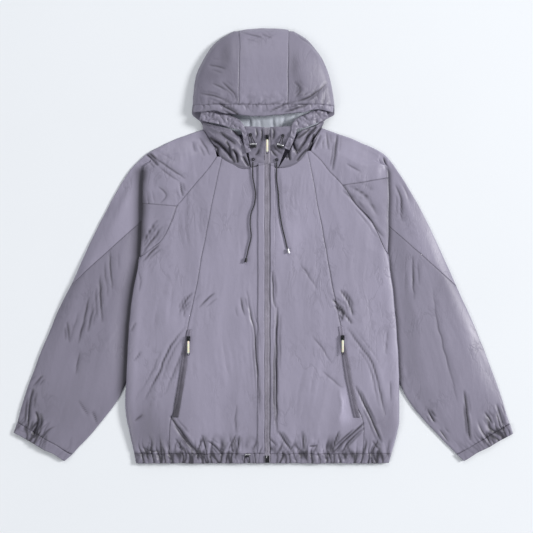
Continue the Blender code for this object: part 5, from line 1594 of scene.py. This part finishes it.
def sleeve_ring(side, station):
    """Points round one ring, from the raglan seam over the fold, the crease and the outer edge."""
    inner, outer = (ring_point(ARM[side], place, station) for place in ("inner", "outer"))
    above = min(station, ARMPIT)
    raglan, fold, back = (ring_point(SHOULDER[side], place, above) for place in ("raglan", "fold", "back"))
    if station > ARMPIT:
        back = inner

    tucked = ramp((station - 2.0) * 1.6)
    apex = ramp((station - 3.0) / 2.0)
    sleeve_z = mix(APEX_SLEEVE, SLEEVE_UNDER, apex)
    tuck_z = mix(APEX_TUCK, TUCK, apex)
    tube = ramp(station - ARMPIT)
    crease_z = mix((sleeve_z + tuck_z) / 2, ARM_EDGE + TURN_GAP, tube)
    end_z = mix(FLOOR, ARM_EDGE - TURN_GAP, tube)
    cross = crossing(side, station, inner, outer)
    width = hypot(*(outer - inner))
    bend = min(BEND / width, 0.2)

    def at(place, z):
        return (side * place[0], place[1], z)

    def top_at(place):
        return at(place, front_height(side * place[0], place[1]))

    def tuck_at(place, z):
        return at(place, mix(front_height(side * place[0], place[1]), z, tucked))

    def arm_at(part):
        place = mix(inner, outer, part)
        height = arm_height(side, station, *place, part * width, (1 - part) * width)
        return tuck_at(place, height)

    def near(start, end, reach=BEND):
        return start + (end - start) * min(reach / max(hypot(*(end - start)), 0.1), 0.3)

    ridge = np.sin(pi * min(max(station - 2.0, 0.0), 1.0))
    fold_top = top_at(near(fold, raglan))
    fold_z = mix(front_height(side * fold[0], fold[1]), (fold_top[2] + tuck_z) / 2, tucked)
    points = [top_at(mix(raglan, fold, part)) for part in (0.0, 1 / 3, 2 / 3)]
    turned_under = mix(near(fold, inner), near(fold, raglan), tucked)
    slanting = tucked * (1 - ramp((station - 6.0) / 2.0))
    above_crease = mix(near(inner, fold, BEND / 2), mix(inner, outer, bend), slanting)
    points += [fold_top, at(fold, fold_z), tuck_at(turned_under, tuck_z)]
    points += [tuck_at(above_crease, tuck_z), tuck_at(inner, crease_z)]
    points += [arm_at(bend), arm_at(max(cross, 1.5 * bend))]
    for col, rise in ((3, 1.8), (4, 1.6), (5, 0.6), (7, -0.4), (8, -0.3)):
        points[col] = (*points[col][:2], points[col][2] + rise * ridge)
    points += [arm_at(mix(cross, 1 - bend, part)) for part in (0.25, 0.5, 0.75)]
    points += [arm_at(1 - bend), at(outer, ARM_EDGE), at(near(outer, back), FLOOR)]
    last = near(back, outer)
    points += [at(mix(near(outer, back), last, part), FLOOR) for part in (0.25, 0.5, 0.75)]
    points += [at(last, FLOOR), at(back, end_z)]
    return points


def back_off(points, edge, inner):
    """Open the cross seam's gap further at the crease and at the turned outer edge."""
    for col, distance in ((FIRST_ARM_COLUMN, 1.0), (OUTER_ARM_COLUMN, 0.5)):
        for beside, share in ((-1, 0.6), (0, 1.0), (1, 0.6)):
            place = points[edge, col + beside]
            place += unit(points[inner, col + beside] - place) * distance * share


# How loose each column of a sleeve ring lies, flat above the fold's start and tucked below it.
FLAT_LOOSE = np.array([1.0] * 13 + [0.8, 0.2] + [0.0] * 6)
TUCKED_LOOSE = np.array([1.0, 1.0, 1.0, 0.6, 0.2, 0, 0, 0, 0, 0, 1.0, 1.0, 1.0, 0.8, 0.2] + [0.0] * 6)


def sleeve_looseness(side, station, points):
    """Share of the relief that each point of a ring takes."""
    if station > ARMPIT:
        share = np.array([0.0] * 7 + [0.2, 0.5, 1.0, 1.0, 1.0, 1.0, 0.8, 0.2] + [0.0] * 6)
    else:
        share = mix(FLAT_LOOSE, TUCKED_LOOSE, ramp((station - 2.0) * 1.6))
    if station > 2.5:
        for col in range(8, 14):
            x, y, _ = points[col]
            share[col] *= ramp((abs(x) - covering_edge(side, y)) / 15.0)
    return share


def sleeve(side, parts):
    name = SIDE_NAME[side]
    points = trim([sleeve_ring(side, station) for station in SHOULDER_STATIONS])
    weights = [sleeve_looseness(side, *pair) for pair in zip(SHOULDER_STATIONS, points)]
    back_off(points, -1, -2)
    sheet(f"sleeve_shoulder_{name}", points, parts, weights=weights, spacing=2.1)

    points = trim([sleeve_ring(side, station) for station in LOWER_STATIONS])
    weights = [sleeve_looseness(side, *pair) for pair in zip(LOWER_STATIONS, points)]
    back_off(points, 0, 1)
    armpit_row = LOWER_STATIONS.index(ARMPIT)
    points[armpit_row, :FIRST_ARM_COLUMN, 1] += SEAM_GAP

    def below_armpit(row, col):
        return row >= armpit_row and col < FIRST_ARM_COLUMN

    sheet(f"sleeve_lower_{name}", points, parts, absent=below_armpit, weights=weights)


def cuff(side, parts):
    points = []
    for station in (CUFF_SEAM, (CUFF_SEAM + CUFF_END) / 2, CUFF_END):
        inner, outer = (ring_point(ARM[side], place, station) for place in ("inner", "outer"))
        width = hypot(*(outer - inner))
        turn = BEND / width
        middle = CUFF_LOFT / 2 + 0.45
        row = [(inner, middle + 1.3)]
        for part in (turn, 0.2, 0.4, 0.6, 0.8, 1 - turn):
            place = mix(inner, outer, part)
            height = arm_height(side, station, *place, part * width, (1 - part) * width)
            row.append((place, max(height, middle + 1.6)))
        row.append((outer, middle))
        row += [(mix(inner, outer, part), CASING / 2) for part in (1 - turn, 0.8, 0.6, 0.4, 0.2, turn)]
        row.append((inner, middle - 1.3))
        points.append([(side * place[0], place[1], z) for place, z in row])
    points = trim(points, ("first_row",))
    points[0] += unit(points[1] - points[0]) * SEAM_GAP
    weights = np.array([0.3] + [1.0] * 6 + [0.3] + [0.0] * 7)
    sheet(f"cuff_{SIDE_NAME[side]}", points, parts, wall=CASING, weights=weights)


# ---------------- hood
def crown_drop(x, y):
    """How far the hood's rows bend down towards the sides of the crown."""
    return 5.0 * (x / 60.0) ** 2 * ramp((y - 850.0) / 60.0)


def hood_centre(parts):
    upper = (BRIM_SEAM_Y, 784, 814, 844, 870, 893, 906)
    lower = (906, 870, 820, 752, 735, 700, 0)
    layers = ((1, upper), (0, (CROWN_Y,)), (-1, lower))
    points = [[hood_centre_point(layer, y, part) for part in QUARTERS]
              for layer, rows in layers for y in rows]
    weights = np.array([1.0] * (len(upper) - 1) + [0.5, 0.2] + [0.0] * len(lower))[:, None]
    sheet("hood_centre", trim(points), parts, weights=weights)


def hood_centre_point(layer, y, part):
    seams = {}
    for side in (-1, 1):
        rows = HOOD_LOW[side][::-1] + HOOD[side]
        seams[side] = side * curve(rows, "seam_y", "seam_x", y)
    x = mix(seams[-1], seams[1], part)
    if y == 0:
        return (x, back_neck_y(x) + SEAM_GAP, FLOOR)
    row_y = y - crown_drop(x, y)
    if layer > 0:
        return (x, row_y, hood_height(x, row_y))
    return (x, row_y, FLOOR if layer < 0 else HOOD_EDGE - 0.8)


def hood_side(side, parts):
    turn = 2 * BEND
    rows = [(row, False) for row in HOOD_LOW[side][::-1]] + [(row, True) for row in HOOD[side]]
    points = []
    for row, upper in rows:
        seam = np.array((row.seam_x, row.seam_y))
        edge = np.array((row.edge_x, row.edge_y))
        bend = mix(edge, seam, min(turn / hypot(*(edge - seam)), 0.4))
        rim = (hood_rim(row.edge_y) + FLOOR) / 2 if upper else FLOOR
        line = []
        for part in (0.0, 0.3, 0.6, 1.0):
            place = mix(seam, bend, part)
            line.append((side * place[0], place[1], hood_height(side * place[0], place[1])))
        line.append((side * edge[0], edge[1], rim))
        for part in (0.0, 0.4, 0.7, 1.0):
            place = mix(bend, seam, part)
            line.append((side * place[0], place[1], FLOOR))
        points.append(line)
    for col, (x, _, _) in enumerate(points[0]):
        points[0][col] = (x, back_neck_y(x) + 2 * SEAM_GAP, FLOOR)
    first_upper = len(HOOD_LOW[side])
    edge_column = 4

    def below_brim(row, col):
        return row < first_upper and col < edge_column

    points = trim(points)
    points[first_upper, :edge_column] += (0.0, SEAM_GAP / 2, 0.0)
    weights = np.array([1.0, 1.0, 1.0, 0.9, 0.2, 0.0, 0.0, 0.0, 0.0])
    sheet(f"hood_side_{SIDE_NAME[side]}", points, parts, absent=below_brim, weights=weights)


def brim_height(x, y):
    """Middle of the brim casing, whose ends come down as the hood side beside them does."""
    edge = HOOD[-1 if x < 0 else 1][0].edge_x
    bend = edge - 2 * BEND
    if abs(x) <= bend:
        return hood_height(x, y)
    top = hood_height(np.copysign(bend, x), y)
    return mix(top, (hood_rim(y) + FLOOR) / 2, min((abs(x) - bend) / (edge - bend), 1.0))


def hood_brim(parts):
    """Casing along the front of the hood: its outer layer, turned edge and inner layer."""
    left, right = HOOD[-1][0].edge_x, HOOD[1][0].edge_x
    flat = np.linspace(2 * BEND - left, right - 2 * BEND, 17)
    xs = [BRIM_CLEAR - left, *flat, right - BRIM_CLEAR]
    rows = []
    for depth, under in ((1.0, 0.0), (0.35, 0.2), (0.0, 1.9), (0.35, 3.9), (0.9, 4.2)):
        row = []
        for x in xs:
            y = mix(curve(BRIM_EDGE, "x", "y", x), BRIM_SEAM_Y, depth)
            inwards = under * 0.6 if x in (xs[0], xs[-1]) else 0.0
            row.append((x - np.copysign(inwards, x), y, brim_height(x, y) - under))
        rows.append(row)
    sheet("hood_brim", trim(rows, ("first_row",)), parts)


def hood_neck(side, parts):
    """Lower front of a hood side panel, lying in long rolls between neck seam and face opening."""
    points = []
    rows = HOOD_NECK[side]
    for part in np.linspace(-0.08, 1.0, 10):
        line = []
        for i in np.linspace(0, len(rows) - 1, 12):
            low, high = ring_point(rows, "low", i), ring_point(rows, "high", i)
            place = mix(low, high, part)
            along = i / (len(rows) - 1)
            low_z = front_height(side * low[0], low[1]) + STACK
            high_z = mix(13.0, 25.0, ramp(along / 0.6)) - 1.5 * ramp(along * 3 - 2)
            swell = NECK_RISE * np.sin(pi * max(part, 0.0)) * mix(0.5, 1.0, ramp(along * 2))
            rolls = 2.2 * np.sin(2 * pi * NECK_ROLLS[side] * part)
            fade = ramp(min(along, 0.96 - along) * 3)
            line.append((side * place[0], place[1], mix(low_z, high_z, part) + (swell + rolls) * fade))
        points.append(line)
    sheet(f"hood_neck_{SIDE_NAME[side]}", trim(points), parts, spacing=2.0, folds=NECK_FOLDS)


def opening_casing(side, parts):
    """Casing strip along the side of the face opening, turned down beside the collar."""
    rows = OPENING_CASING[side]
    stations = np.linspace(0, len(rows) - 1, 15)
    centre = np.array([[ring_value(rows, name, s) for name in ("x", "y", "z")] for s in stations])
    ahead = unit(np.gradient(centre[:, :2], axis=0))
    lines = []
    profile = ((-0.5, 0.85, -1.6), (-0.5, 0.4, 0.2), (-0.5, 0.0, 0.0), (0.0, 0.0, 0.5), (0.5, 0.0, 0.0))
    for across, reach, crown in profile:
        line = []
        for place, (dx, dy), s in zip(centre, ahead, stations):
            # Above the opening the strip carries on as a facing, up and under the brim.
            above = 1 - ramp((s - 3.2) / 1.3)
            width = ring_value(rows, "width", s) * (across - reach * above)
            height = place[2] + crown * (above if reach else 1.0)
            line.append((side * (place[0] - dy * width), place[1] + dx * width, height))
        lines.append(line)
    sheet(f"hood_casing_{SIDE_NAME[side]}", np.array(lines), parts, spacing=1.6, ruffle=2.2)


def hood_lining(parts):
    """The part of the lining that the face opening shows, above the back of the hood."""
    points = []
    for y in (690, 706, 722, 740, 758):
        z = mix(LINING_LOW, LINING_HIGH, ramp((y - 690) / 68))
        narrow = mix(0.76, 1.0, ramp((y - 690) / 32))
        points.append([(x * narrow, y, z) for x in np.linspace(-122, 114, 13)])
    sheet("hood_lining", points, parts, material="lining", folds=LINING_FOLDS)


def collar(side, parts):
    """Front of the collar, from the zip to the casing strip beside it."""
    inner = ZIP_LEFT if side < 0 else ZIP_RIGHT
    low, high = ((32.0, 45.0) if side < 0 else (26.0, 58.0))
    points = []
    for part in np.linspace(0.0, 1.0, 7):
        row = []
        for across in QUARTERS:
            x = side * mix(inner, mix(low, high, part), across)
            y = mix(neck_seam_y(x), ZIP_TOP + 1.0 + 2.0 * across, part)
            row.append((x, y, collar_height(x, y)))
        points.append(row)
    points = trim(points, ("first_row", "first_column", "last_column"))
    sheet(f"collar_{SIDE_NAME[side]}", points, parts, spacing=1.6, ruffle=0.6, folds=COLLAR_FOLDS)


# ---------------- zips and facings
def centre_height(x, y):
    """Front cloth beside the zip, carried on up the collar."""
    return collar_height(x, y) if y > neck_seam_y(x) else front_height(x, y)


def strip_on_front(name, rows, parts, lift, material="nylon", finish=None):
    """Strip laid along the front: rows of Y, left X and right X."""
    points = [[(x, y, centre_height(x, y) + lift) for x in (left, (left + right) / 2, right)]
              for y, left, right in rows]
    sheet(name, points, parts, material=material, finish=finish)


def front_zip(parts):
    edge = SEAM_GAP
    lower = (1.0,) + LOWER_ROWS
    rows = [(y, -ZIP_LEFT + edge, ZIP_RIGHT - edge) for y in lower + (470, 540, 620, 632, 656, 680, ZIP_TOP)]
    strip_on_front("front_zip", rows, parts, 0.0, "coil")
    for side, near_zip, far in ((-1, ZIP_LEFT + 0.4, PLACKET_LEFT), (1, ZIP_RIGHT + 0.4, PLACKET_RIGHT)):
        inner, outer = sorted((side * near_zip, side * far))
        rows = [(y, inner, outer) for y in (CASING_DEPTH + 1.0,) + LOWER_ROWS[1:] + (470, 540, PLACKET_TOP)]
        strip_on_front(f"placket_{SIDE_NAME[side]}", rows, parts, STACK)


def pocket_middle(side, y):
    """Middle of a pocket's zip at a height, and half of its width."""
    rows = POCKET_ZIP[side][::-1]
    return side * curve(rows, "y", "x", y), curve(rows, "y", "width", y) / 2


def pocket_zip(side, parts):
    rows = POCKET_ZIP[side]
    lines = []
    for y in np.linspace(rows[0].y, rows[-1].y, 8):
        middle, half = pocket_middle(side, y)
        lines.append((y, middle - half, middle + half))
    strip_on_front(f"pocket_zip_{SIDE_NAME[side]}", lines, parts, STACK, "coil", "pocket_coil")


def stitch_lines():
    """Topstitched lines of the upper side, each as (points, distance to the left of them)."""
    lines = [(line, STITCHED[kind]) for kind, line in seam_lines() if kind in STITCHED]
    for side in (-1, 1):
        edge = PLACKET_LEFT if side < 0 else PLACKET_RIGHT
        ys = np.linspace(CASING_DEPTH + 2, PLACKET_TOP - 4, 60)
        lines.append((np.stack([level(ys, side * (edge - 2.0)), ys], axis=1), 0.0))
        rows = POCKET_ZIP[side]
        ys = np.linspace(rows[-1].y - 6, rows[0].y + 4, 20)
        middle, half = pocket_middle(side, ys)
        inner, outer = (np.stack([middle + way * (half + 3.0), ys], 1) for way in (-1, 1))
        lines.append((np.concatenate([inner, outer[::-1], inner[:1]]), 0.0))
    return lines


def zip_teeth(tape, xs, ys, wide, collection, finish):
    """Coil of a zip: turns that reach in from either side and interlock along the middle."""
    tree = upper_side([tape])
    points, heading = evenly(np.stack([xs, ys], axis=1), TOOTH_PITCH)
    bars = []
    for number, ((x, y), (dx, dy)) in enumerate(zip(points, heading)):
        z = drop(tree, x, y)
        if z is None:
            continue
        across = np.array((-dy, dx, 0.0))
        middle = np.array((x, y, z + 0.25))
        shift = across * (0.18 if number % 2 else -0.18) * wide
        bars.append((middle + shift - across * wide * 0.32, middle + shift + across * wide * 0.32,
                     np.array((dx, dy, 0.0)) * 0.5, np.array((0.0, 0.0, 0.75))))
    small_bars(f"{tape}_teeth", bars, finish, collection)


# ---------------- small hard parts
SLIDER_LENGTH, HINGE_ABOVE = 10.0, 4.45   # slider body, and the pull's hinge axis above its underside
PULL_BACK, PULL_FRONT = 0.6, 35.8         # reach of a pull tab behind and before its hinge axis
PULL_HALF, EYE_HALF = 2.7, 1.6            # half widths of a pull's frame and of the opening in it
TONGUE_BACK, TONGUE_FRONT, TONGUE_HALF = 5.0, 31.0, 2.3
FRAME_THICK, TONGUE_THICK = 1.2, 1.8
LOCK_BAR = {-1: (-26.7, 669.0), 1: (29.4, 667.6)}
HEM_BAR = (-38.5, 19.0, 12.6, 14.4)       # X, Y, underside and top
ZIP_PIN = (1.4, 14.5, 11.2, 12.6)


def rounded(low, high, soft, outwards=1):
    """Profile of a softened edge from its top to its underside: how far in, and height."""
    return ((outwards * soft, high), (0.0, high - soft), (0.0, low + soft), (outwards * soft, low))


def capsule(x, y, turn, length, half, profile):
    """Rings of a flat bar with round ends, one ring for each step of its profile."""
    ahead, aside = np.array((np.cos(turn), np.sin(turn))), np.array((-np.sin(turn), np.cos(turn)))
    rings = []
    for inset, z in profile:
        reach, width = length / 2 - inset, half - inset
        ring = []
        for end in (1, -1):
            for angle in np.linspace(0, pi, 9):
                forward = reach - width + width * np.sin(angle)
                place = ahead * end * forward + aside * end * width * np.cos(angle)
                ring.append((x + place[0], y + place[1], z))
        rings.append(ring)
    return rings


def skin(name, rings, slot, collection, body="jacket", node_name=None, closed=False):
    """Smooth solid through rings of points, either closed on itself or filled at both ends."""
    bm = bmesh.new()
    rows = [[bm.verts.new(placed(*point)) for point in ring] for ring in rings]
    count = len(rows[0])
    for first, second in zip(rows, rows[1:] + (rows[:1] if closed else [])):
        for k in range(count):
            bm.faces.new((first[k], first[(k + 1) % count], second[(k + 1) % count], second[k]))
    if not closed:
        bm.faces.new(rows[0])
        bm.faces.new(rows[-1][::-1])
    bmesh.ops.recalc_face_normals(bm, faces=bm.faces)
    mesh = bpy.data.meshes.new(name)
    bm.to_mesh(mesh)
    bm.free()
    mesh.shade_smooth()
    mesh.set_sharp_from_angle(angle=radians(50))
    thing = shown(name, mesh, slot, collection)
    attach(thing, body)
    if node_name:
        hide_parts(node_name)
    return thing


def pull_tab(name, body, x, y, axis_z, collection):
    """Pull tab: a black frame that hangs on the slider and ends in a loop, with a cream tongue."""
    middle, length = y - (PULL_FRONT - PULL_BACK) / 2, PULL_FRONT + PULL_BACK
    low, high = axis_z - FRAME_THICK / 2, axis_z + FRAME_THICK / 2
    outer = capsule(x, middle, -pi / 2, length, PULL_HALF, rounded(low, high, 0.3))
    hole = capsule(x, middle, -pi / 2, length - 2.4, EYE_HALF, rounded(low, high, 0.3, -1)[::-1])
    skin(f"{name}_frame", outer + hole, "black_plastic", collection, body, name, closed=True)
    middle, length = y - (TONGUE_BACK + TONGUE_FRONT) / 2, TONGUE_FRONT - TONGUE_BACK
    low, high = axis_z - TONGUE_THICK / 2, axis_z + TONGUE_THICK / 2
    tongue = capsule(x, middle, -pi / 2, length, TONGUE_HALF, rounded(low, high, 0.4))
    skin(f"{name}_tongue", tongue, "cream_rubber", collection, body, name)


def metal_bars(collection):
    """Nickel bars on the cord locks and over the hem cord, and the zip's pin in its box."""
    for side, (x, y) in LOCK_BAR.items():
        lock_x, lock_y, turn = CORD_LOCK[side]
        top = centre_height(lock_x, lock_y) + LOCK_BASE + LOCK_SIZE[2]
        bar = capsule(x, y, radians(turn), 15.0, 1.7, rounded(top - 1.2, top + 0.9, 0.5))
        skin(f"cord_lock_bar_{SIDE_NAME[side]}", bar, "bead_steel", collection)
    x, y, low, high = HEM_BAR
    skin("hem_bar", capsule(x, y, 0.0, 12.0, 1.5, rounded(low, high, 0.5)), "bead_steel", collection)
    x, y, low, high = ZIP_PIN
    skin("zip_pin", capsule(x, y, pi / 2, 6.0, 1.1, rounded(low, high, 0.4)), "bead_steel", collection)


# ---------------- settings
def length(name, description, usual, least, most):
    return bpy.props.FloatProperty(name=name, description=description, default=usual, min=least, max=most,
                                   unit="LENGTH", subtype="DISTANCE")


class JacketSizes(bpy.types.PropertyGroup):
    fold_depth: bpy.props.FloatProperty(
        name="Fold depth", description="Share of the usual depth of the loose cloth's rolling folds",
        default=1.0, min=0.0, max=2.0, subtype="FACTOR")
    cloth_step: length("Cloth step", "Distance between points of the cloth shells", 0.0024, 0.002, 0.02)
    camera_height: length("Camera height", "Distance of the camera above the surface", 3.2, 1.0, 8.0)
    view_width: length("View width", "Width of surface that the camera takes in", 1.119, 0.5, 3.0)


def colour(name, description, hex_colour):
    return bpy.props.FloatVectorProperty(name=name, description=description, default=linear(hex_colour),
                                         size=3, min=0.0, max=1.0, subtype="COLOR")


class JacketColours(bpy.types.PropertyGroup):
    nylon: colour("Nylon", "Outer cloth", "#9590a3")
    # Also the colour towards which the painted shade in creases and dips darkens the cloth.
    nylon_seam_and_shade: colour("Nylon at seams", "Outer cloth where several layers lie on each other", "#5a5663")
    lining: colour("Lining", "Tricot inside the hood", "#c4c9d4")
    tape: colour("Front zip tape", "Tape and coil of the front zip", "#908b99")
    pocket_tape: colour("Pocket zip tape", "Tape and coil of the pocket zips", "#5f5b68")
    thread: colour("Thread", "Topstitching", "#86818f")
    cord: colour("Cord", "Drawcords", "#17171b")
    plastic: colour("Plastic", "Locks, eyelets and zip box", "#16161a")
    metal: colour("Nickel", "Cord end, lock bars and hem bar", "#d4d4d8")
    slider: colour("Gunmetal", "Zip sliders", "#4c4c52")
    rubber: colour("Rubber", "Pull tabs", "#f6f0d8")
    surface: colour("Surface", "Board that the jacket lies on", "#eef1f5")


def shown_in():
    """The collection that the jacket's shells are put in."""
    name = "windbreaker_jacket"
    found = bpy.data.collections.get(name)
    if not found:
        found = bpy.data.collections.new(name)
        bpy.context.scene.collection.children.link(found)
    return found


# ---------------- operators
class JACKET_OT_stage(bpy.types.Operator):
    """Set up the surface, the soft studio light and the camera straight above"""
    bl_idname = "jacket.stage"
    bl_label = "Stage"

    def execute(self, context):
        sizes, colours = context.scene.jacket_sizes, context.scene.jacket_colours
        scene = context.scene
        data = bpy.data.cameras.new("camera")
        data.sensor_width = 36.0
        data.lens = data.sensor_width * sizes.camera_height / sizes.view_width
        camera = bpy.data.objects.new("camera", data)
        camera.location = (*(c * MM for c in CAMERA_OVER), sizes.camera_height + CAMERA_LIFT)
        scene.collection.objects.link(camera)
        scene.camera = camera

        bm = bmesh.new()
        bmesh.ops.create_grid(bm, x_segments=1, y_segments=1, size=SURFACE_HALF)
        mesh = bpy.data.meshes.new("surface")
        bm.to_mesh(mesh)
        bm.free()
        surface = bpy.data.objects.new("surface", mesh)
        surface.location = (0.0, 0.0, -SURFACE_DROP)
        scene.collection.objects.link(surface)
        # Matt painted board: even and pale, with the faintest mottling.
        pale = tuple(colours.surface)
        material, tree, shader, place = new_material("matt_painted_board", Roughness=0.9)
        grain = cloudy(tree, place, 3.0, 2.0)
        tree.links.new(two_tone(tree, grain, pale, shade(pale, 0.97)), shader.inputs["Base Color"])
        mesh.materials.append(material)

        world = bpy.data.worlds.new("studio")
        world.use_nodes = True
        background = world.node_tree.nodes["Background"]
        background.inputs["Color"].default_value = FILL_COLOUR
        background.inputs["Strength"].default_value = FILL
        scene.world = world
        scene.view_settings.view_transform = "Standard"
        for name, place, size, watts in LAMPS:
            light = bpy.data.lights.new(name, "AREA")
            light.shape = "DISK"
            light.size = size
            light.energy = watts
            lamp = bpy.data.objects.new(name, light)
            lamp.location = place
            lamp.rotation_euler = (-Vector(place)).to_track_quat("-Z", "Y").to_euler()
            scene.collection.objects.link(lamp)
        return {"FINISHED"}


class JACKET_OT_cords(bpy.types.Operator):
    """Lay the hood's drawcords and the hem's loop"""
    bl_idname = "jacket.cords"
    bl_label = "Cords"

    def execute(self, context):
        place = shown_in()
        for side in (-1, 1):
            name = SIDE_NAME[side]
            long, short = drawcord_routes(side)
            bead = dress(f"cord_bead_{name}", "bead_steel" if side > 0 else "black_plastic")
            lock = dress(f"cord_lock_{name}", "black_plastic")
            cord_curve(f"cord_{name}", long, CORD, place)
            cord_curve(f"cord_short_{name}", short, SHORT_CORD, place)
        cord_curve("hem_cord_loop", hem_loop_route(), SHORT_CORD, place)
        return {"FINISHED"}


class JACKET_OT_body(bpy.types.Operator):
    """Lay the back, the four front panels and the hem casing"""
    bl_idname = "jacket.body"
    bl_label = "Body"

    def execute(self, context):
        place = shown_in()
        back_panel(place)
        for side in (-1, 1):
            front_centre_panel(side, place)
            front_side_panel(side, place)
        hem_bands(place)
        return {"FINISHED"}


class JACKET_OT_sleeves(bpy.types.Operator):
    """Lay both raglan sleeves with their cuffs"""
    bl_idname = "jacket.sleeves"
    bl_label = "Sleeves"

    def execute(self, context):
        place = shown_in()
        for side in (-1, 1):
            sleeve(side, place)
            cuff(side, place)
        return {"FINISHED"}


class JACKET_OT_hood(bpy.types.Operator):
    """Lay the hood, its brim, the strips beside its face opening and its lining"""
    bl_idname = "jacket.hood"
    bl_label = "Hood"

    def execute(self, context):
        place = shown_in()
        hood_centre(place)
        hood_brim(place)
        hood_lining(place)
        for side in (-1, 1):
            hood_side(side, place)
            hood_neck(side, place)
            opening_casing(side, place)
        return {"FINISHED"}


class JACKET_OT_zips(bpy.types.Operator):
    """Lay the collar, the facings and the three zips with their teeth"""
    bl_idname = "jacket.zips"
    bl_label = "Collar and zips"

    def execute(self, context):
        place = shown_in()
        for side in (-1, 1):
            collar(side, place)
            pocket_zip(side, place)
        front_zip(place)
        ys = np.linspace(19.0, ZIP_TOP - 2, 200)
        middle = (ZIP_RIGHT - ZIP_LEFT) / 2
        zip_teeth("front_zip", level(ys, middle), ys, 6.0, place, "coil")
        for side in (-1, 1):
            rows = POCKET_ZIP[side]
            ys = np.linspace(rows[-1].y + 1, rows[0].y - 1, 60)
            xs = pocket_middle(side, ys)[0]
            zip_teeth(f"pocket_zip_{SIDE_NAME[side]}", xs, ys, 4.6, place, "pocket_coil")
        return {"FINISHED"}


class JACKET_OT_stitching(bpy.types.Operator):
    """Sew the topstitching along seams, casings, facings and pockets"""
    bl_idname = "jacket.stitching"
    bl_label = "Stitching"

    def execute(self, context):
        tree = upper_side(laid)
        bars = []
        for line, aside in stitch_lines():
            bars += stitch_row(tree, line, aside)
        small_bars("topstitching", bars, "thread", shown_in())
        return {"FINISHED"}


class JACKET_OT_hardware(bpy.types.Operator):
    """Finish the sliders, pull tabs, eyelets and zip box"""
    bl_idname = "jacket.hardware"
    bl_label = "Hardware"

    def execute(self, context):
        place = shown_in()
        dress("zip_box", "black_plastic")
        dress("front_slider", "slider_metal")
        dress("hem_eyelet", "black_plastic")
        x, y = FRONT_PULL
        under = centre_height(x, y + SLIDER_LENGTH / 2) + ON_CLOTH
        pull_tab("front_pull", "front_pull_tab", x, y, under + HINGE_ABOVE, place)
        metal_bars(place)
        for side in (-1, 1):
            name = SIDE_NAME[side]
            x, y = POCKET_PULL[side]
            under = front_height(x, y) + STACK + ON_CLOTH
            pull_tab(f"pocket_pull_{name}", f"pocket_pull_tab_{name}", x, y, under + HINGE_ABOVE, place)
            dress(f"pocket_slider_{name}", "slider_metal")
            for row in ("upper", "lower"):
                dress(f"eyelet_{row}_{name}", "black_plastic")
        return {"FINISHED"}


class JACKET_PT_panel(bpy.types.Panel):
    """Lists the steps that build the jacket"""
    bl_label = "Jacket"
    bl_space_type = "VIEW_3D"
    bl_region_type = "UI"
    bl_category = "Jacket"

    def draw(self, context):
        layout = self.layout
        for step in STEPS:
            layout.operator(step.bl_idname)
        for settings in (context.scene.jacket_sizes, context.scene.jacket_colours):
            for name in settings.__annotations__:
                layout.prop(settings, name)


STEPS = (JACKET_OT_stage, JACKET_OT_cords, JACKET_OT_body, JACKET_OT_sleeves, JACKET_OT_hood,
         JACKET_OT_zips, JACKET_OT_stitching, JACKET_OT_hardware)
CLASSES = (JacketSizes, JacketColours, *STEPS, JACKET_PT_panel)


def register():
    for kind in CLASSES:
        bpy.utils.register_class(kind)
    bpy.types.Scene.jacket_sizes = bpy.props.PointerProperty(type=JacketSizes)
    bpy.types.Scene.jacket_colours = bpy.props.PointerProperty(type=JacketColours)


def unregister():
    del bpy.types.Scene.jacket_colours
    del bpy.types.Scene.jacket_sizes
    for kind in reversed(CLASSES):
        bpy.utils.unregister_class(kind)


def main():
    register()
    for step in STEPS:
        group, name = step.bl_idname.split(".")
        getattr(getattr(bpy.ops, group), name)()


if __name__ == "__main__":
    main()
